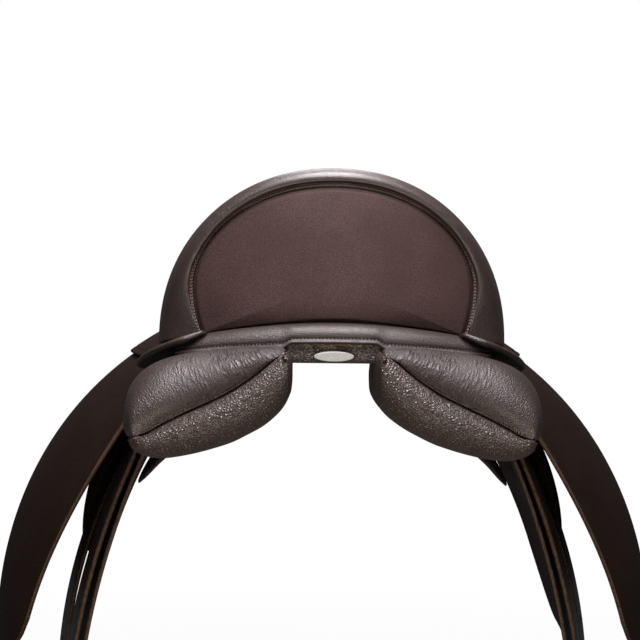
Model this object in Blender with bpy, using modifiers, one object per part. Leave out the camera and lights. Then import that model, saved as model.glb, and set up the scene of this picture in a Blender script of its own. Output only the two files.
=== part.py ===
# Dressage saddle, modelled the way a saddler builds it: a wooden tree with steel plates,
# a webbed and padded seat, wool panels, leather flaps and skirts that lift, stirrup bars
# with hinged catches, girth straps that swing, and breastplate rings.
# Lengths are in metres. +X is the right side, +Y faces the horse's head, +Z is up.
# The origin is on the middle line, level with the lowest part of the rear panels.

import math

import bmesh
import bpy
from mathutils import Vector

# Seat: its middle line from under the pommel, over the seat, to the seam behind the cantle
SEAT_MIDDLE = [
    (0.214, 0.168), (0.222, 0.193), (0.208, 0.213), (0.165, 0.203), (0.105, 0.167),
    (0.045, 0.141), (-0.020, 0.132), (-0.085, 0.143), (-0.140, 0.172), (-0.183, 0.213),
    (-0.207, 0.249), (-0.221, 0.2612), (-0.232, 0.2560), (-0.2345, 0.2465),
]
# Seat: its right lower edge, one point for each point of the middle line
SEAT_EDGE = [
    (0.056, 0.207, 0.153), (0.059, 0.209, 0.156), (0.061, 0.202, 0.158),
    (0.065, 0.165, 0.153), (0.074, 0.105, 0.141), (0.088, 0.045, 0.129),
    (0.107, -0.020, 0.117), (0.1285, -0.085, 0.108), (0.1480, -0.135, 0.1035),
    (0.1570, -0.155, 0.1015), (0.1595, -0.165, 0.1010), (0.1605, -0.173, 0.1015),
    (0.1500, -0.190, 0.1045), (0.1150, -0.2075, 0.1105),
]
SEAT_ARCH_FRONT = 0.80
SEAT_ARCH_MIDDLE = 0.55
SEAT_ARCH_CANTLE = 0.94
SEAT_LEATHER = 0.0025
SEAT_COLUMNS = 20
FOAM_THICKNESS = 0.008
FOAM_GAP = 0.0008
CREST_ROW = 11
FOAM_FIRST_ROW = 4
FOAM_LAST_ROW = 8
FOAM_MARGIN = 2

# Cantle: the padded facing seen from behind, an ellipse cut by an arched lower line
FACING_HALF_WIDTH = 0.1254
FACING_CENTRE_Z = 0.154
FACING_RISE = 0.092
FACING_DROP = 0.109
FACING_CORNER_X = 0.115
FACING_ARCH = 0.011
CANTLE_BACK_Y = -0.2345
CANTLE_BACK_RADIUS = 0.245
FACING_CROWN = 0.0045
FACING_THICKNESS = 0.006
FACING_INNER_SHARE = 0.965
SEAM_GAP = 0.0006

# Band between the facing and the panels, and the strip across the gullet
BAND_LOWER_Z = 0.1015
BAND_LOWER_DROP = 0.0062
BAND_HALF_LENGTH = 0.127
BAND_CORNER_X = 0.140
BAND_LOWER_Y = -0.252
BAND_RADIUS = 0.300
BAND_THICKNESS = 0.003
BAND_BULGE = 0.003
STRIP_HALF_LENGTH = 0.0345
STRIP_TOP_RISE = 0.0010
STRIP_HEIGHT = 0.0160
STRIP_INSET = 0.0080
STRIP_TURN = 0.004
STRIP_LEAN = 0.12
STRIP_TAIL = 0.030
STRIP_THICKNESS = 0.0035
BADGE_WIDTH = 0.0370
BADGE_HEIGHT = 0.0098
BADGE_THICKNESS = 0.0022
BADGE_SHARE = 0.695
BADGE_STANDOFF = 0.0009

# The line that the flap and the skirt bend about, on the right side
HINGE_REAR = Vector((0.1350, -0.100, 0.1065))
HINGE_FRONT = Vector((0.0690, 0.175, 0.1490))

# Flap: an arc down the side, steeper at its rear edge than over the thigh block
FLAP_THICKNESS = 0.0045
FLAP_LENGTH = 0.405
FLAP_TOP_GAP = 0.004
FLAP_END_SLOPE = math.radians(88)
FLAP_SLOPES = [(-0.110, 52), (-0.085, 46), (-0.050, 34), (0.000, 22.5), (0.050, 15.5),
               (0.100, 12.5), (0.180, 13), (0.260, 15)]
FLAP_REAR_EDGE = [(0.0, -0.0975), (0.12, -0.088), (0.28, -0.072), (0.42, -0.060)]
FLAP_FRONT_EDGE = [(0.0, 0.172), (0.07, 0.205), (0.18, 0.232), (0.30, 0.212), (0.42, 0.170)]
FLAP_CORNER = 0.070
NOTCH_CENTRE_Y = 0.104
NOTCH_HALF_LENGTH = 0.062
NOTCH_DEPTH = 0.046

# Skirt over the stirrup bar, and its sewn-down rear end round the cantle
SKIRT_THICKNESS = 0.0042
SKIRT_GAP = 0.0022
SKIRT_TOP = 0.002
SKIRT_BULGE = 0.0110
SKIRT_REAR_Y = -0.0980
SKIRT_FRONT_Y = 0.178
SKIRT_DEPTHS = [(-0.10, 0.044), (-0.03, 0.066), (0.05, 0.108), (0.11, 0.128),
                (0.16, 0.112), (0.185, 0.070)]
ROLL_INNER = [(0.1140, -0.2180, 0.1115), (0.1310, -0.2160, 0.1035), (0.1440, -0.1920, 0.0960),
              (0.1500, -0.1670, 0.0915), (0.1465, -0.1350, 0.0920), (0.1350, -0.0995, 0.0975)]
ROLL_OUTER = [(0.1195, -0.2255, 0.1120), (0.1390, -0.2290, 0.1045), (0.1600, -0.2140, 0.0960),
              (0.1760, -0.1850, 0.0870), (0.1820, -0.1480, 0.0795), (0.1690, -0.0995, 0.0755)]
ROLL_THICKNESS = 0.0064

# Sweat flap: an arc under the flap, steep at the rear, flaring over the panel in front
SWEAT_THICKNESS = 0.0035
SWEAT_LENGTH = 0.375
SWEAT_INSET = 0.0050
SWEAT_DROP = 0.0155
SWEAT_END_SLOPE = math.radians(85)
SWEAT_SLOPES = [(-0.110, 60), (-0.060, 56), (0.000, 47), (0.080, 40), (0.160, 36), (0.240, 36)]
SWEAT_REAR_EDGE = [(0.0, -0.094), (0.15, -0.088), (0.38, -0.070)]
SWEAT_FRONT_EDGE = [(0.0, 0.150), (0.08, 0.205), (0.22, 0.205), (0.38, 0.165)]
SWEAT_CORNER = 0.060

# Panels: four corners of the section, inner top, outer top, outer bottom, inner bottom (x, z)
PANEL_STATIONS = [
    (-0.222, ((0.0358, 0.1038), (0.1882, 0.0850), (0.1957, -0.0157), (0.0397, 0.0240))),
    (-0.186, ((0.0360, 0.0972), (0.1755, 0.0782), (0.1885, -0.0150), (0.0395, 0.0250))),
    (-0.150, ((0.0365, 0.0950), (0.1620, 0.0760), (0.1820, -0.0130), (0.0390, 0.0270))),
    (-0.080, ((0.0380, 0.0880), (0.1140, 0.0840), (0.1540, -0.0020), (0.0400, 0.0340))),
    (0.000, ((0.0410, 0.0960), (0.0900, 0.0960), (0.1500, -0.0020), (0.0490, 0.0320))),
    (0.080, ((0.0440, 0.1040), (0.0700, 0.1040), (0.1720, -0.0140), (0.1060, 0.0060))),
    (0.120, ((0.0440, 0.1040), (0.0615, 0.1085), (0.1890, -0.0330), (0.1530, -0.0190))),
    (0.160, ((0.0440, 0.1040), (0.0540, 0.1120), (0.2060, -0.0520), (0.1960, -0.0590))),
]
PANEL_UPPER_SQUARENESS = (4.0, 3.3)
PANEL_LOWER_SQUARENESS = (2.24, 2.38)
PANEL_BOW = [(-0.222, 0.0), (-0.080, 0.0), (0.0, 0.004), (0.080, 0.010), (0.160, 0.013)]
PANEL_REAR_DOME = 0.056
PANEL_DOME_FULLNESS = 2.7
PANEL_FRONT_DOME = 0.040
PANEL_SEAM_INNER = (0.0460, 0.0925)
PANEL_SEAM_OUTER = (0.1830, 0.0185)
PANEL_REAR_CLOSING = 0.985
PANEL_FRONT_CLOSING = 0.93

# Thigh block on the sweat flap
BLOCK_TOP = 0.055
BLOCK_LENGTH = 0.255
BLOCK_WIDTH = 0.062
BLOCK_HEIGHT = 0.038
BLOCK_Y = 0.135
BLOCK_GAP = 0.0004
BLOCK_LEAN = 0.020
BLOCK_TAPER = 0.16

# Tree
HEAD_Y = 0.170
HEAD_DEPTH = 0.030
HEAD_THICKNESS = 0.011
HEAD_ARCH = [(0.0525, 0.1400), (0.0425, 0.1580), (0.0255, 0.1745), (0.0, 0.1820)]
HEAD_STEPS = 32
GULLET_PLATE_REACH = 24
HEAD_PLATE_REACH = 10
POINT_LENGTH = 0.115
POINT_INSET = 0.0090
RAIL_WIDTH = 0.036
RAIL_THICKNESS = 0.010
RAIL_INSET = 0.010
RAIL_DROP = 0.0135
RAIL_REAR_Y = -0.172
CANTLE_BOARD = 0.009
CANTLE_BOARD_Z = 0.106
CANTLE_BOARD_INNER = (0.078, 0.076)
CANTLE_BOARD_OUTER = (0.116, 0.122)
PLATE_THICKNESS = 0.0022
RAIL_LEANS = [(-0.17, 0), (0.0, 15), (0.05, 21), (0.15, 22)]
SPRING_WIDTH = 0.018
SPRING_REAR_Y = -0.088
SPRING_THICKNESS = 0.0016
SPRING_FRONT_MARGIN = 0.012
POINT_TAPER = 0.66
POCKET_THICKNESS = 0.0014
POCKET_GAP = 0.0012
POCKET_MARGIN = 0.006
POCKET_RISE = 0.038
POCKET_LENGTH = 0.050
WELT_RADIUS = 0.0021
WELT_FIRST = 2.2
WELT_ROWS = 5.8
WELT_STEPS = 20
WELT_GAP = 0.0006
NAIL_RADIUS = 0.0062
NAIL_DOME = 0.0028
NAIL_SEAT = 0.0009
NAIL_ROW = 2.6
NAIL_TURN = 0.16

# Stirrup bar, forged in one piece: a plate riveted on the rail, and a hook turning back outside it
BAR_Y = 0.100
BAR_PLATE_LENGTH = 0.086
BAR_PLATE_WIDTH = 0.016
BAR_PLATE_THICKNESS = 0.0030
BAR_WIDTH = 0.0105
BAR_THICKNESS = 0.0060
BAR_REACH = 0.024
BAR_RISE = 0.0085
BAR_SEAT = 0.0075
BAR_OFF_RAIL = 0.0005
FORK_SLOT = 0.0045
FORK_DEPTH = 0.0075
CATCH_LENGTH = 0.024
CATCH_CLEARANCE = 0.0002
CATCH_SHOULDER = 0.0015
CATCH_THUMB = 0.0045
CATCH_NOSE_GAP = 0.0012
CATCH_THICKNESS = 0.0046
PIN_RADIUS = 0.0013
PIN_CLEARANCE = 0.00008
RIVET_SHANK = 0.0025
RIVET_HEAD = 0.0046
RIVET_DOME = 0.0022
RIVET_PLACES = {"rear": -0.030, "front": 0.022}

# Girth straps, on webs nailed to the rails
STRAP_WIDTH = 0.029
STRAP_THICKNESS = 0.0045
STRAP_LENGTH = 0.520
STRAP_PLACES = {"rear": -0.058, "front": 0.045}
STRAP_STANDOFF = 0.0118
STRAP_TOP = 0.030
STRAP_PIVOT = 0.044
STRAP_STRAIGHT = 0.390
STRAP_TWIST = 0.28
STRAP_TIP = 0.022
STRAP_HOLES = 7
STRAP_HOLE_SPACING = 0.025
STRAP_HOLE_RADIUS = 0.0026
STRAP_HOLE_SIDES = 6
STRAP_END_MARGIN = 0.055
WEB_THICKNESS = 0.0022
WEB_WIDTH = 0.034
WEB_LENGTH = 0.054
WEB_START = 0.0030
WEB_RUNNING_GAP = 0.0012
WEB_OFF_SWEAT_FLAP = 0.0020
SEAT_WEB_THICKNESS = 0.0014
SEAT_WEB_COLUMNS = (1.0, 2.6)
SEAT_WEB_ROWS = (4, 8)
CROSS_WEB_COLUMNS = 6
CROSS_WEB_ROWS = (6.5, 7.1)

# Breastplate rings
RING_WIRE = 0.0018
RING_WIDTH = 0.024
RING_DROP = 0.021
RING_SHOULDER = 0.003
RING_Y = 0.201
RING_PLATE_STEP = 17.5
RING_PLATE_OFF_HEAD = 0.0008
LUG_RADIUS = 0.0044
LUG_LENGTH = 0.011
RING_PLATE_THICKNESS = 0.0020
RING_PLATE_WIDTH = 0.012
RING_PLATE_REAR = 0.006
LUG_BORE_CLEARANCE = 0.00026

GAP = 0.0003
SIDES = {"left": -1.0, "right": 1.0}

BROWN = (0.045, 0.030, 0.027)
DARK_BROWN = (0.030, 0.019, 0.017)
WOOD = (0.55, 0.38, 0.22)
STEEL = (0.55, 0.55, 0.57)
BLACK_STEEL = (0.05, 0.05, 0.055)
FOAM = (0.75, 0.70, 0.55)
CANVAS = (0.70, 0.66, 0.55)
PEARL = (0.80, 0.81, 0.78)


def clear_scene():
    for old in list(bpy.data.objects):
        bpy.data.objects.remove(old, do_unlink=True)


def new_collection(name):
    group = bpy.data.collections.new(name)
    bpy.context.scene.collection.children.link(group)
    return group


def look(name, colour, roughness, metallic=0.0):
    made = bpy.data.materials.new(name)
    made.use_nodes = True
    shader = made.node_tree.nodes["Principled BSDF"]
    shader.inputs["Base Color"].default_value = (*colour, 1.0)
    shader.inputs["Roughness"].default_value = roughness
    shader.inputs["Metallic"].default_value = metallic
    made.diffuse_color = (*colour, 1.0)
    return made


def through(keys, t):
    # A smooth curve through the keys, each a number and a value, held level past the ends
    xs = [key[0] for key in keys]
    if t <= xs[0]:
        return keys[0][1]
    if t >= xs[-1]:
        return keys[-1][1]
    i = max(k for k in range(len(xs) - 1) if xs[k] <= t)
    span = xs[i + 1] - xs[i]
    f = (t - xs[i]) / span
    rise = keys[i + 1][1] - keys[i][1]
    before = rise if i == 0 else (keys[i + 1][1] - keys[i - 1][1]) * span / (xs[i + 1] - xs[i - 1])
    last = i + 2 == len(xs)
    after = rise if last else (keys[i + 2][1] - keys[i][1]) * span / (xs[i + 2] - xs[i])
    a = 2 * f ** 3 - 3 * f ** 2 + 1
    b = f ** 3 - 2 * f ** 2 + f
    c = 3 * f ** 2 - 2 * f ** 3
    d = f ** 3 - f ** 2
    return a * keys[i][1] + b * before + c * keys[i + 1][1] + d * after


def along(points, t):
    # The point at t, from 0 at the first point to 1 at the last, on a smooth curve through them
    place = t * (len(points) - 1)
    size = len(points[0])
    return tuple(through([(i, p[k]) for i, p in enumerate(points)], place) for k in range(size))


def mesh_object(name, mesh, place, material):
    made = bpy.data.objects.new(name, mesh)
    place.objects.link(made)
    mesh.materials.append(material)
    return made


def sheet(name, surface, columns, rows, thickness, material, place, outward=0.0):
    # A grid bent to surface(u, v), u and v from 0 to 1, and given a thickness by Solidify
    shape = bmesh.new()
    bmesh.ops.create_grid(shape, x_segments=columns, y_segments=rows, size=0.5)
    for vertex in shape.verts:
        vertex.co = Vector(surface(vertex.co.x + 0.5, vertex.co.y + 0.5))
    mesh = bpy.data.meshes.new(name)
    shape.to_mesh(mesh)
    shape.free()
    made = mesh_object(name, mesh, place, material)
    made.data.shade_smooth()
    skin = made.modifiers.new("Thickness", "SOLIDIFY")
    skin.thickness = thickness
    skin.offset = outward
    return made


def loft(name, rings, material, place):
    # A closed body through rings of equal point counts, with flat ends
    shape = bmesh.new()
    rows = [[shape.verts.new(point) for point in ring] for ring in rings]
    count = len(rings[0])
    for near, far in zip(rows[:-1], rows[1:]):
        for i in range(count):
            j = (i + 1) % count
            shape.faces.new((near[i], near[j], far[j], far[i]))
    shape.faces.new(rows[0])
    shape.faces.new(rows[-1])
    bmesh.ops.recalc_face_normals(shape, faces=shape.faces)
    mesh = bpy.data.meshes.new(name)
    shape.to_mesh(mesh)
    shape.free()
    made = mesh_object(name, mesh, place, material)
    made.data.shade_smooth()
    made.data.set_sharp_from_angle(angle=math.radians(50))
    return made


def tube(name, points, radius, material, place, cyclic=False, resolution=1):
    line = bpy.data.curves.new(name, "CURVE")
    line.dimensions = "3D"
    line.bevel_depth = radius
    line.bevel_resolution = resolution
    line.use_fill_caps = True
    spline = line.splines.new("POLY")
    spline.points.add(len(points) - 1)
    for slot, point in zip(spline.points, points):
        slot.co = (*point, 1.0)
    spline.use_cyclic_u = cyclic
    made = bpy.data.objects.new(name, line)
    place.objects.link(made)
    line.materials.append(material)
    return made


def set_pivot(made, pivot):
    # Moves the object's origin onto its joint, with its shape left where it is
    offset = Vector(pivot)
    if made.type == "MESH":
        for vertex in made.data.vertices:
            vertex.co -= offset
    else:
        for spline in made.data.splines:
            for slot in spline.points:
                slot.co = (*(Vector(slot.co[:3]) - offset), 1.0)
    made.location = offset


def hinge_point(y):
    t = (y - HINGE_REAR.y) / (HINGE_FRONT.y - HINGE_REAR.y)
    return HINGE_REAR.lerp(HINGE_FRONT, t)


def arc(start, slope, end_slope, length, s, out=0.0):
    # The point s along an arc whose slope below the level grows evenly, moved out along its normal
    bend = (end_slope - slope) / length
    now = slope + bend * s
    x = start[0] + (math.sin(now) - math.sin(slope)) / bend + out * math.sin(now)
    z = start[1] + (math.cos(now) - math.cos(slope)) / bend + out * math.cos(now)
    return x, z


def rounded_length(full, corner, v):
    # How long a sheet hangs at v across it, shorter near its two rounded corners
    edge = min(v, 1.0 - v) / 0.22
    if edge >= 1.0:
        return full
    return full - corner * (1.0 - math.sqrt(max(0.0, 1.0 - (1.0 - edge) ** 2)))


def flap_slope(y):
    return math.radians(through(FLAP_SLOPES, y))


def flap_point(s, y, out):
    start = hinge_point(y)
    x, z = arc((start.x, start.z), flap_slope(y), FLAP_END_SLOPE, FLAP_LENGTH, s, out)
    return x, y, z


def sweat_slope(y):
    return math.radians(through(SWEAT_SLOPES, y))


def sweat_point(s, y, out):
    # A point on the sweat flap's middle, out metres off it
    start = hinge_point(y)
    top = (start.x - SWEAT_INSET, start.z - SWEAT_DROP)
    x, z = arc(top, sweat_slope(y), SWEAT_END_SLOPE, SWEAT_LENGTH, s, out)
    return x, y, z


def cantle_back(x):
    return CANTLE_BACK_Y + x * x / (2 * CANTLE_BACK_RADIUS)


def facing_lower_z(x):
    corner_z = FACING_CENTRE_Z - FACING_DROP * math.sqrt(1 - (FACING_CORNER_X / FACING_HALF_WIDTH) ** 2)
    return corner_z + FACING_ARCH * (1 - (x / FACING_CORNER_X) ** 2)


def facing_edge(a, inset=0.0):
    # The seam round the facing, a from 0 at the right corner, over the top, to pi at the left one
    low = math.acos(FACING_CORNER_X / FACING_HALF_WIDTH)
    turn = -low + a * (math.pi + 2 * low) / math.pi
    x = (FACING_HALF_WIDTH - inset) * math.cos(turn)
    reach = FACING_RISE if math.sin(turn) > 0 else FACING_DROP
    z = FACING_CENTRE_Z + (reach - inset) * math.sin(turn)
    return x, cantle_back(x), z


def seat_row(t, a, rows):
    # A point of the seat's skin: t from the pommel to the seam, a across it from right to left
    place = t * (rows - 1)
    edge = along(SEAT_EDGE, t)
    middle = along(SEAT_MIDDLE, t)
    arch = through([(0, SEAT_ARCH_FRONT), (3, SEAT_ARCH_MIDDLE), (7, SEAT_ARCH_MIDDLE),
                    (11, SEAT_ARCH_CANTLE), (13, SEAT_ARCH_CANTLE)], place)
    side = through([(0, 1.0), (9, 1.0), (11, SEAT_ARCH_CANTLE), (13, SEAT_ARCH_CANTLE)], place)
    rise = max(0.0, math.sin(a)) ** arch
    x = edge[0] * math.copysign(abs(math.cos(a)) ** side, math.cos(a))
    deep = rise ** through([(7, 1.0), (11, 1.5)], place)
    y = edge[1] + (middle[0] - edge[1]) * deep
    z = edge[2] + (middle[1] - edge[2]) * rise
    share = max(0.0, (place - CREST_ROW - 1) / (rows - 2 - CREST_ROW))
    seam = facing_edge(a, -SEAM_GAP / 2)
    return tuple(p + (q - p) * share for p, q in zip((x, y, z), seam))


def seat_normal(t, a, rows):
    step = 0.004
    back, ahead = max(0.0, t - step), min(1.0, t + step)
    low, high = max(0.0, a - step), min(math.pi, a + step)
    by_t = Vector(seat_row(ahead, a, rows)) - Vector(seat_row(back, a, rows))
    by_a = Vector(seat_row(t, high, rows)) - Vector(seat_row(t, low, rows))
    return by_t.cross(by_a).normalized()


def seat_angle(u):
    return math.pi * (1.0 - u)


def make_seat(place):
    rows = len(SEAT_MIDDLE)

    def skin(u, v):
        return seat_row(v, seat_angle(u), rows)

    sheet("seat_cover", skin, SEAT_COLUMNS, 2 * (rows - 1), SEAT_LEATHER,
          look("seat_cover", BROWN, 0.45), place, 1.0)


def make_foam(place):
    # The foam layer under the middle of the seat's skin
    depth = SEAT_LEATHER + FOAM_GAP + FOAM_THICKNESS / 2
    steps = 2 * (FOAM_LAST_ROW - FOAM_FIRST_ROW)
    padding = under_seat(FOAM_MARGIN, SEAT_COLUMNS - FOAM_MARGIN, FOAM_FIRST_ROW, FOAM_LAST_ROW, depth)
    sheet("seat_foam", padding, SEAT_COLUMNS - 2 * FOAM_MARGIN, steps, FOAM_THICKNESS,
          look("seat_foam", FOAM, 0.9), place)


def under_seat(first_column, last_column, first_row, last_row, depth):
    # A surface this deep under the seat's skin, from one of its columns and rows to another
    rows = len(SEAT_MIDDLE)

    def surface(u, v):
        t = (first_row + (last_row - first_row) * v) / (rows - 1)
        a = seat_angle((first_column + (last_column - first_column) * u) / SEAT_COLUMNS)
        return Vector(seat_row(t, a, rows)) + seat_normal(t, a, rows) * depth

    return surface


def make_facing(place):
    rings, spokes = 5, 32
    low_side = 9
    edge = []
    for k in range(spokes - low_side + 1):
        edge.append(facing_edge(math.pi * k / (spokes - low_side), SEAM_GAP / 2))
    left_x = edge[-1][0]
    right_x = edge[0][0]
    for k in range(1, low_side):
        x = left_x + (right_x - left_x) * k / low_side
        edge.append((x, cantle_back(x), facing_lower_z(x) + SEAM_GAP / 2))
    centre = (0.0, FACING_CENTRE_Z + 0.004)

    def layer(back):
        rows = []
        for ring in range(1, rings + 1):
            r = math.sin(ring / rings * math.pi / 2)
            crown = FACING_CROWN * (1 - r ** 3) if back else -FACING_THICKNESS
            reach = r if back else r * FACING_INNER_SHARE
            row = []
            for x, _, z in edge:
                px = centre[0] + (x - centre[0]) * reach
                pz = centre[1] + (z - centre[1]) * reach
                row.append(Vector((px, cantle_back(px) - crown, pz)))
            rows.append(row)
        return rows

    outer = layer(True)
    inner = layer(False)
    rings_all = outer + inner[::-1]
    loft("cantle_facing", rings_all, look("cantle_facing", DARK_BROWN, 0.6), place)


def make_band(place):
    def surface(u, v):
        x = BAND_HALF_LENGTH * (2 * u - 1)
        top_z = facing_lower_z(x) - SEAM_GAP / 2
        low_z = BAND_LOWER_Z - BAND_LOWER_DROP * (x / BAND_CORNER_X) ** 2
        top_y = cantle_back(x)
        low_y = BAND_LOWER_Y + x * x / (2 * BAND_RADIUS)
        bulge = BAND_BULGE * math.sin(math.pi * v)
        return x, top_y + (low_y - top_y) * v - bulge, top_z + (low_z - top_z) * v + bulge

    sheet("rear_band", surface, 20, 3, BAND_THICKNESS, look("rear_band", BROWN, 0.4), place, 1.0)


def strip_y(z):
    return BAND_LOWER_Y + STRIP_INSET + (BAND_LOWER_Z - z) * STRIP_LEAN


def make_gullet_strip(place):
    top = BAND_LOWER_Z + STRIP_TOP_RISE
    straight = STRIP_HEIGHT - STRIP_TURN

    def surface(u, v):
        x = STRIP_HALF_LENGTH * (2 * u - 1)
        turn = max(0.0, v - 0.5) * 2
        angle = turn * math.pi / 2
        z = top - straight * min(1.0, v * 2) - STRIP_TURN * math.sin(angle)
        y = strip_y(z) + STRIP_TURN * (1 - math.cos(angle)) + STRIP_TAIL * max(0.0, turn - 0.5)
        return x, y, z

    sheet("gullet_strip", surface, 6, 6, STRIP_THICKNESS, look("gullet_strip", DARK_BROWN, 0.55), place)


def make_badge(place):
    # A plain oval stud, domed a little, on the middle of the gullet strip
    middle_z = BAND_LOWER_Z + STRIP_TOP_RISE - STRIP_HEIGHT * BADGE_SHARE
    front_y = strip_y(middle_z) - STRIP_THICKNESS / 2 - BADGE_STANDOFF
    rings = []
    for depth, share in ((0.0, 1.0), (0.55, 1.0), (0.85, 0.90), (1.0, 0.62)):
        ring = []
        for k in range(28):
            a = 2 * math.pi * k / 28
            ring.append((
                BADGE_WIDTH / 2 * share * math.cos(a),
                front_y - BADGE_THICKNESS * depth,
                middle_z + BADGE_HEIGHT / 2 * share * math.sin(a),
            ))
        rings.append(ring)
    loft("badge_oval", rings, look("badge_oval", PEARL, 0.2), place)


def panel_ring(corners, bow, count=28):
    # A rounded section inside four corners; its top half runs from +1 to -1 and back
    a, b, c, d = corners
    ring = []
    for k in range(count):
        turn = 2 * math.pi * k / count
        quarters = PANEL_UPPER_SQUARENESS if math.sin(turn) >= 0 else PANEL_LOWER_SQUARENESS
        squareness = quarters[math.cos(turn) >= 0]
        p = math.copysign(abs(math.cos(turn)) ** (2 / squareness), math.cos(turn))
        q = math.copysign(abs(math.sin(turn)) ** (2 / squareness), math.sin(turn))
        right, top = (p + 1) / 2, (q + 1) / 2
        point = []
        for axis in range(2):
            upper = a[axis] + (b[axis] - a[axis]) * right
            lower = d[axis] + (c[axis] - d[axis]) * right
            point.append(lower + (upper - lower) * top)
        lean = Vector((a[1] - d[1], d[0] - a[0])).normalized()
        bulge = bow * (1 - q * q)
        ring.append((point[0] + lean.x * bulge, point[1] + lean.y * bulge, p))
    return ring


def panel_section(y):
    corners = []
    for corner in range(4):
        keys = [[(station, four[corner][axis]) for station, four in PANEL_STATIONS] for axis in range(2)]
        corners.append((through(keys[0], y), through(keys[1], y)))
    return panel_ring(corners, through(PANEL_BOW, y))


def make_panel(side, place):
    sign = SIDES[side]
    first = PANEL_STATIONS[0][0]
    last = PANEL_STATIONS[-1][0]
    rings = []
    rear = panel_section(first)
    steps = 6
    for k in range(steps, 0, -1):
        depth = 1.0 - (1.0 - k / steps * PANEL_REAR_CLOSING) ** 2
        keep = (1.0 - depth ** PANEL_DOME_FULLNESS) ** (1 / PANEL_DOME_FULLNESS)
        ring = []
        for x, z, p in rear:
            share = (p + 1) / 2
            core_x = PANEL_SEAM_INNER[0] + (PANEL_SEAM_OUTER[0] - PANEL_SEAM_INNER[0]) * share
            core_z = PANEL_SEAM_INNER[1] + (PANEL_SEAM_OUTER[1] - PANEL_SEAM_INNER[1]) * share
            y = first - PANEL_REAR_DOME * depth
            ring.append((sign * (core_x + (x - core_x) * keep), y, core_z + (z - core_z) * keep))
        rings.append(ring)
    body_steps = 14
    for k in range(body_steps + 1):
        y = first + (last - first) * k / body_steps
        rings.append([(sign * x, y, z) for x, z, _ in panel_section(y)])
    front = panel_section(last)
    centre_x = sum(x for x, _, _ in front) / len(front)
    centre_z = sum(z for _, z, _ in front) / len(front)
    for k in range(1, 5):
        turn = math.pi / 2 * k / 4 * PANEL_FRONT_CLOSING
        keep = math.cos(turn)
        y = last + PANEL_FRONT_DOME * math.sin(turn)
        rings.append([(sign * (centre_x + (x - centre_x) * keep), y, centre_z + (z - centre_z) * keep)
                      for x, z, _ in front])
    loft(f"panel_{side}", rings, look(f"panel_{side}", DARK_BROWN, 0.5), place)


def notch(y):
    # How far down the flap's cut-out for the stirrup bar reaches at y
    q = abs(y - NOTCH_CENTRE_Y) / NOTCH_HALF_LENGTH
    if q >= 1.0:
        return 0.0
    return NOTCH_DEPTH * (1 - q ** 4) ** 0.5


def make_flap(side, place):
    sign = SIDES[side]

    def surface(u, v):
        length = rounded_length(FLAP_LENGTH, FLAP_CORNER, u)
        rough = v * length
        y = through(FLAP_REAR_EDGE, rough) * (1 - u) + through(FLAP_FRONT_EDGE, rough) * u
        top = FLAP_TOP_GAP + notch(y)
        s = top + (length - top) * v
        x, y, z = flap_point(s, y, 0.0)
        return sign * x, y, z

    made = sheet(f"flap_{side}", surface, 14, 12, FLAP_THICKNESS, look(f"flap_{side}", BROWN, 0.42), place)
    pivot = hinge_point(0.0)
    set_pivot(made, (sign * pivot.x, pivot.y, pivot.z))


def skirt_out(s, y):
    base = FLAP_THICKNESS / 2 + SKIRT_GAP + SKIRT_THICKNESS / 2
    q = max(0.0, 1 - ((y - NOTCH_CENTRE_Y) / (NOTCH_HALF_LENGTH * 1.45)) ** 2)
    fall = max(0.0, 1 - (max(0.0, s - NOTCH_DEPTH * 0.6) / NOTCH_DEPTH) ** 2)
    return base + SKIRT_BULGE * q * q * fall


def skirt_hinge(share):
    # A point on the line that the skirt lifts about, from its rear end to its front one
    rear, front = (Vector(flap_point(SKIRT_TOP, y, skirt_out(SKIRT_TOP, y)))
                   for y in (SKIRT_REAR_Y, SKIRT_FRONT_Y))
    return rear.lerp(front, share)


def skirt_depth(y):
    return through(SKIRT_DEPTHS, y)


def make_skirt(side, place):
    sign = SIDES[side]

    def surface(u, v):
        y = SKIRT_REAR_Y + (SKIRT_FRONT_Y - SKIRT_REAR_Y) * u
        s = SKIRT_TOP + (skirt_depth(y) - SKIRT_TOP) * v
        x, y, z = flap_point(s, y, skirt_out(s, y))
        return sign * x, y, z

    made = sheet(f"skirt_{side}", surface, 14, 6, SKIRT_THICKNESS, look(f"skirt_{side}", BROWN, 0.4), place)
    pivot = skirt_hinge(0.4)
    set_pivot(made, (sign * pivot.x, pivot.y, pivot.z))


def make_cantle_skirt(side, place):
    # The skirt's rear end, sewn down round the cantle, with a thick rolled lower edge
    sign = SIDES[side]
    rings = []
    steps = 14
    for k in range(steps + 1):
        t = k / steps
        inner = Vector(along(ROLL_INNER, t))
        outer = Vector(along(ROLL_OUTER, t))
        across = outer - inner
        before = Vector(along(ROLL_OUTER, max(0.0, t - 0.02)))
        ahead = Vector(along(ROLL_OUTER, min(1.0, t + 0.02))) - before
        up = ahead.cross(across).normalized()
        if up.z < 0:
            up = -up
        half = ROLL_THICKNESS / 2 * min(1.0, 0.55 + 2.2 * t)
        line = across.normalized()
        ring = [inner + up * half * 0.6, inner - up * half * 0.6]
        for j in range(7):
            a = -math.pi / 2 + math.pi * j / 6
            ring.append(outer - line * half + line * half * math.cos(a) + up * half * math.sin(a))
        rings.append([(sign * p.x, p.y, p.z) for p in ring])
    loft(f"cantle_skirt_{side}", rings, look(f"cantle_skirt_{side}", BROWN, 0.38), place)


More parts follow.
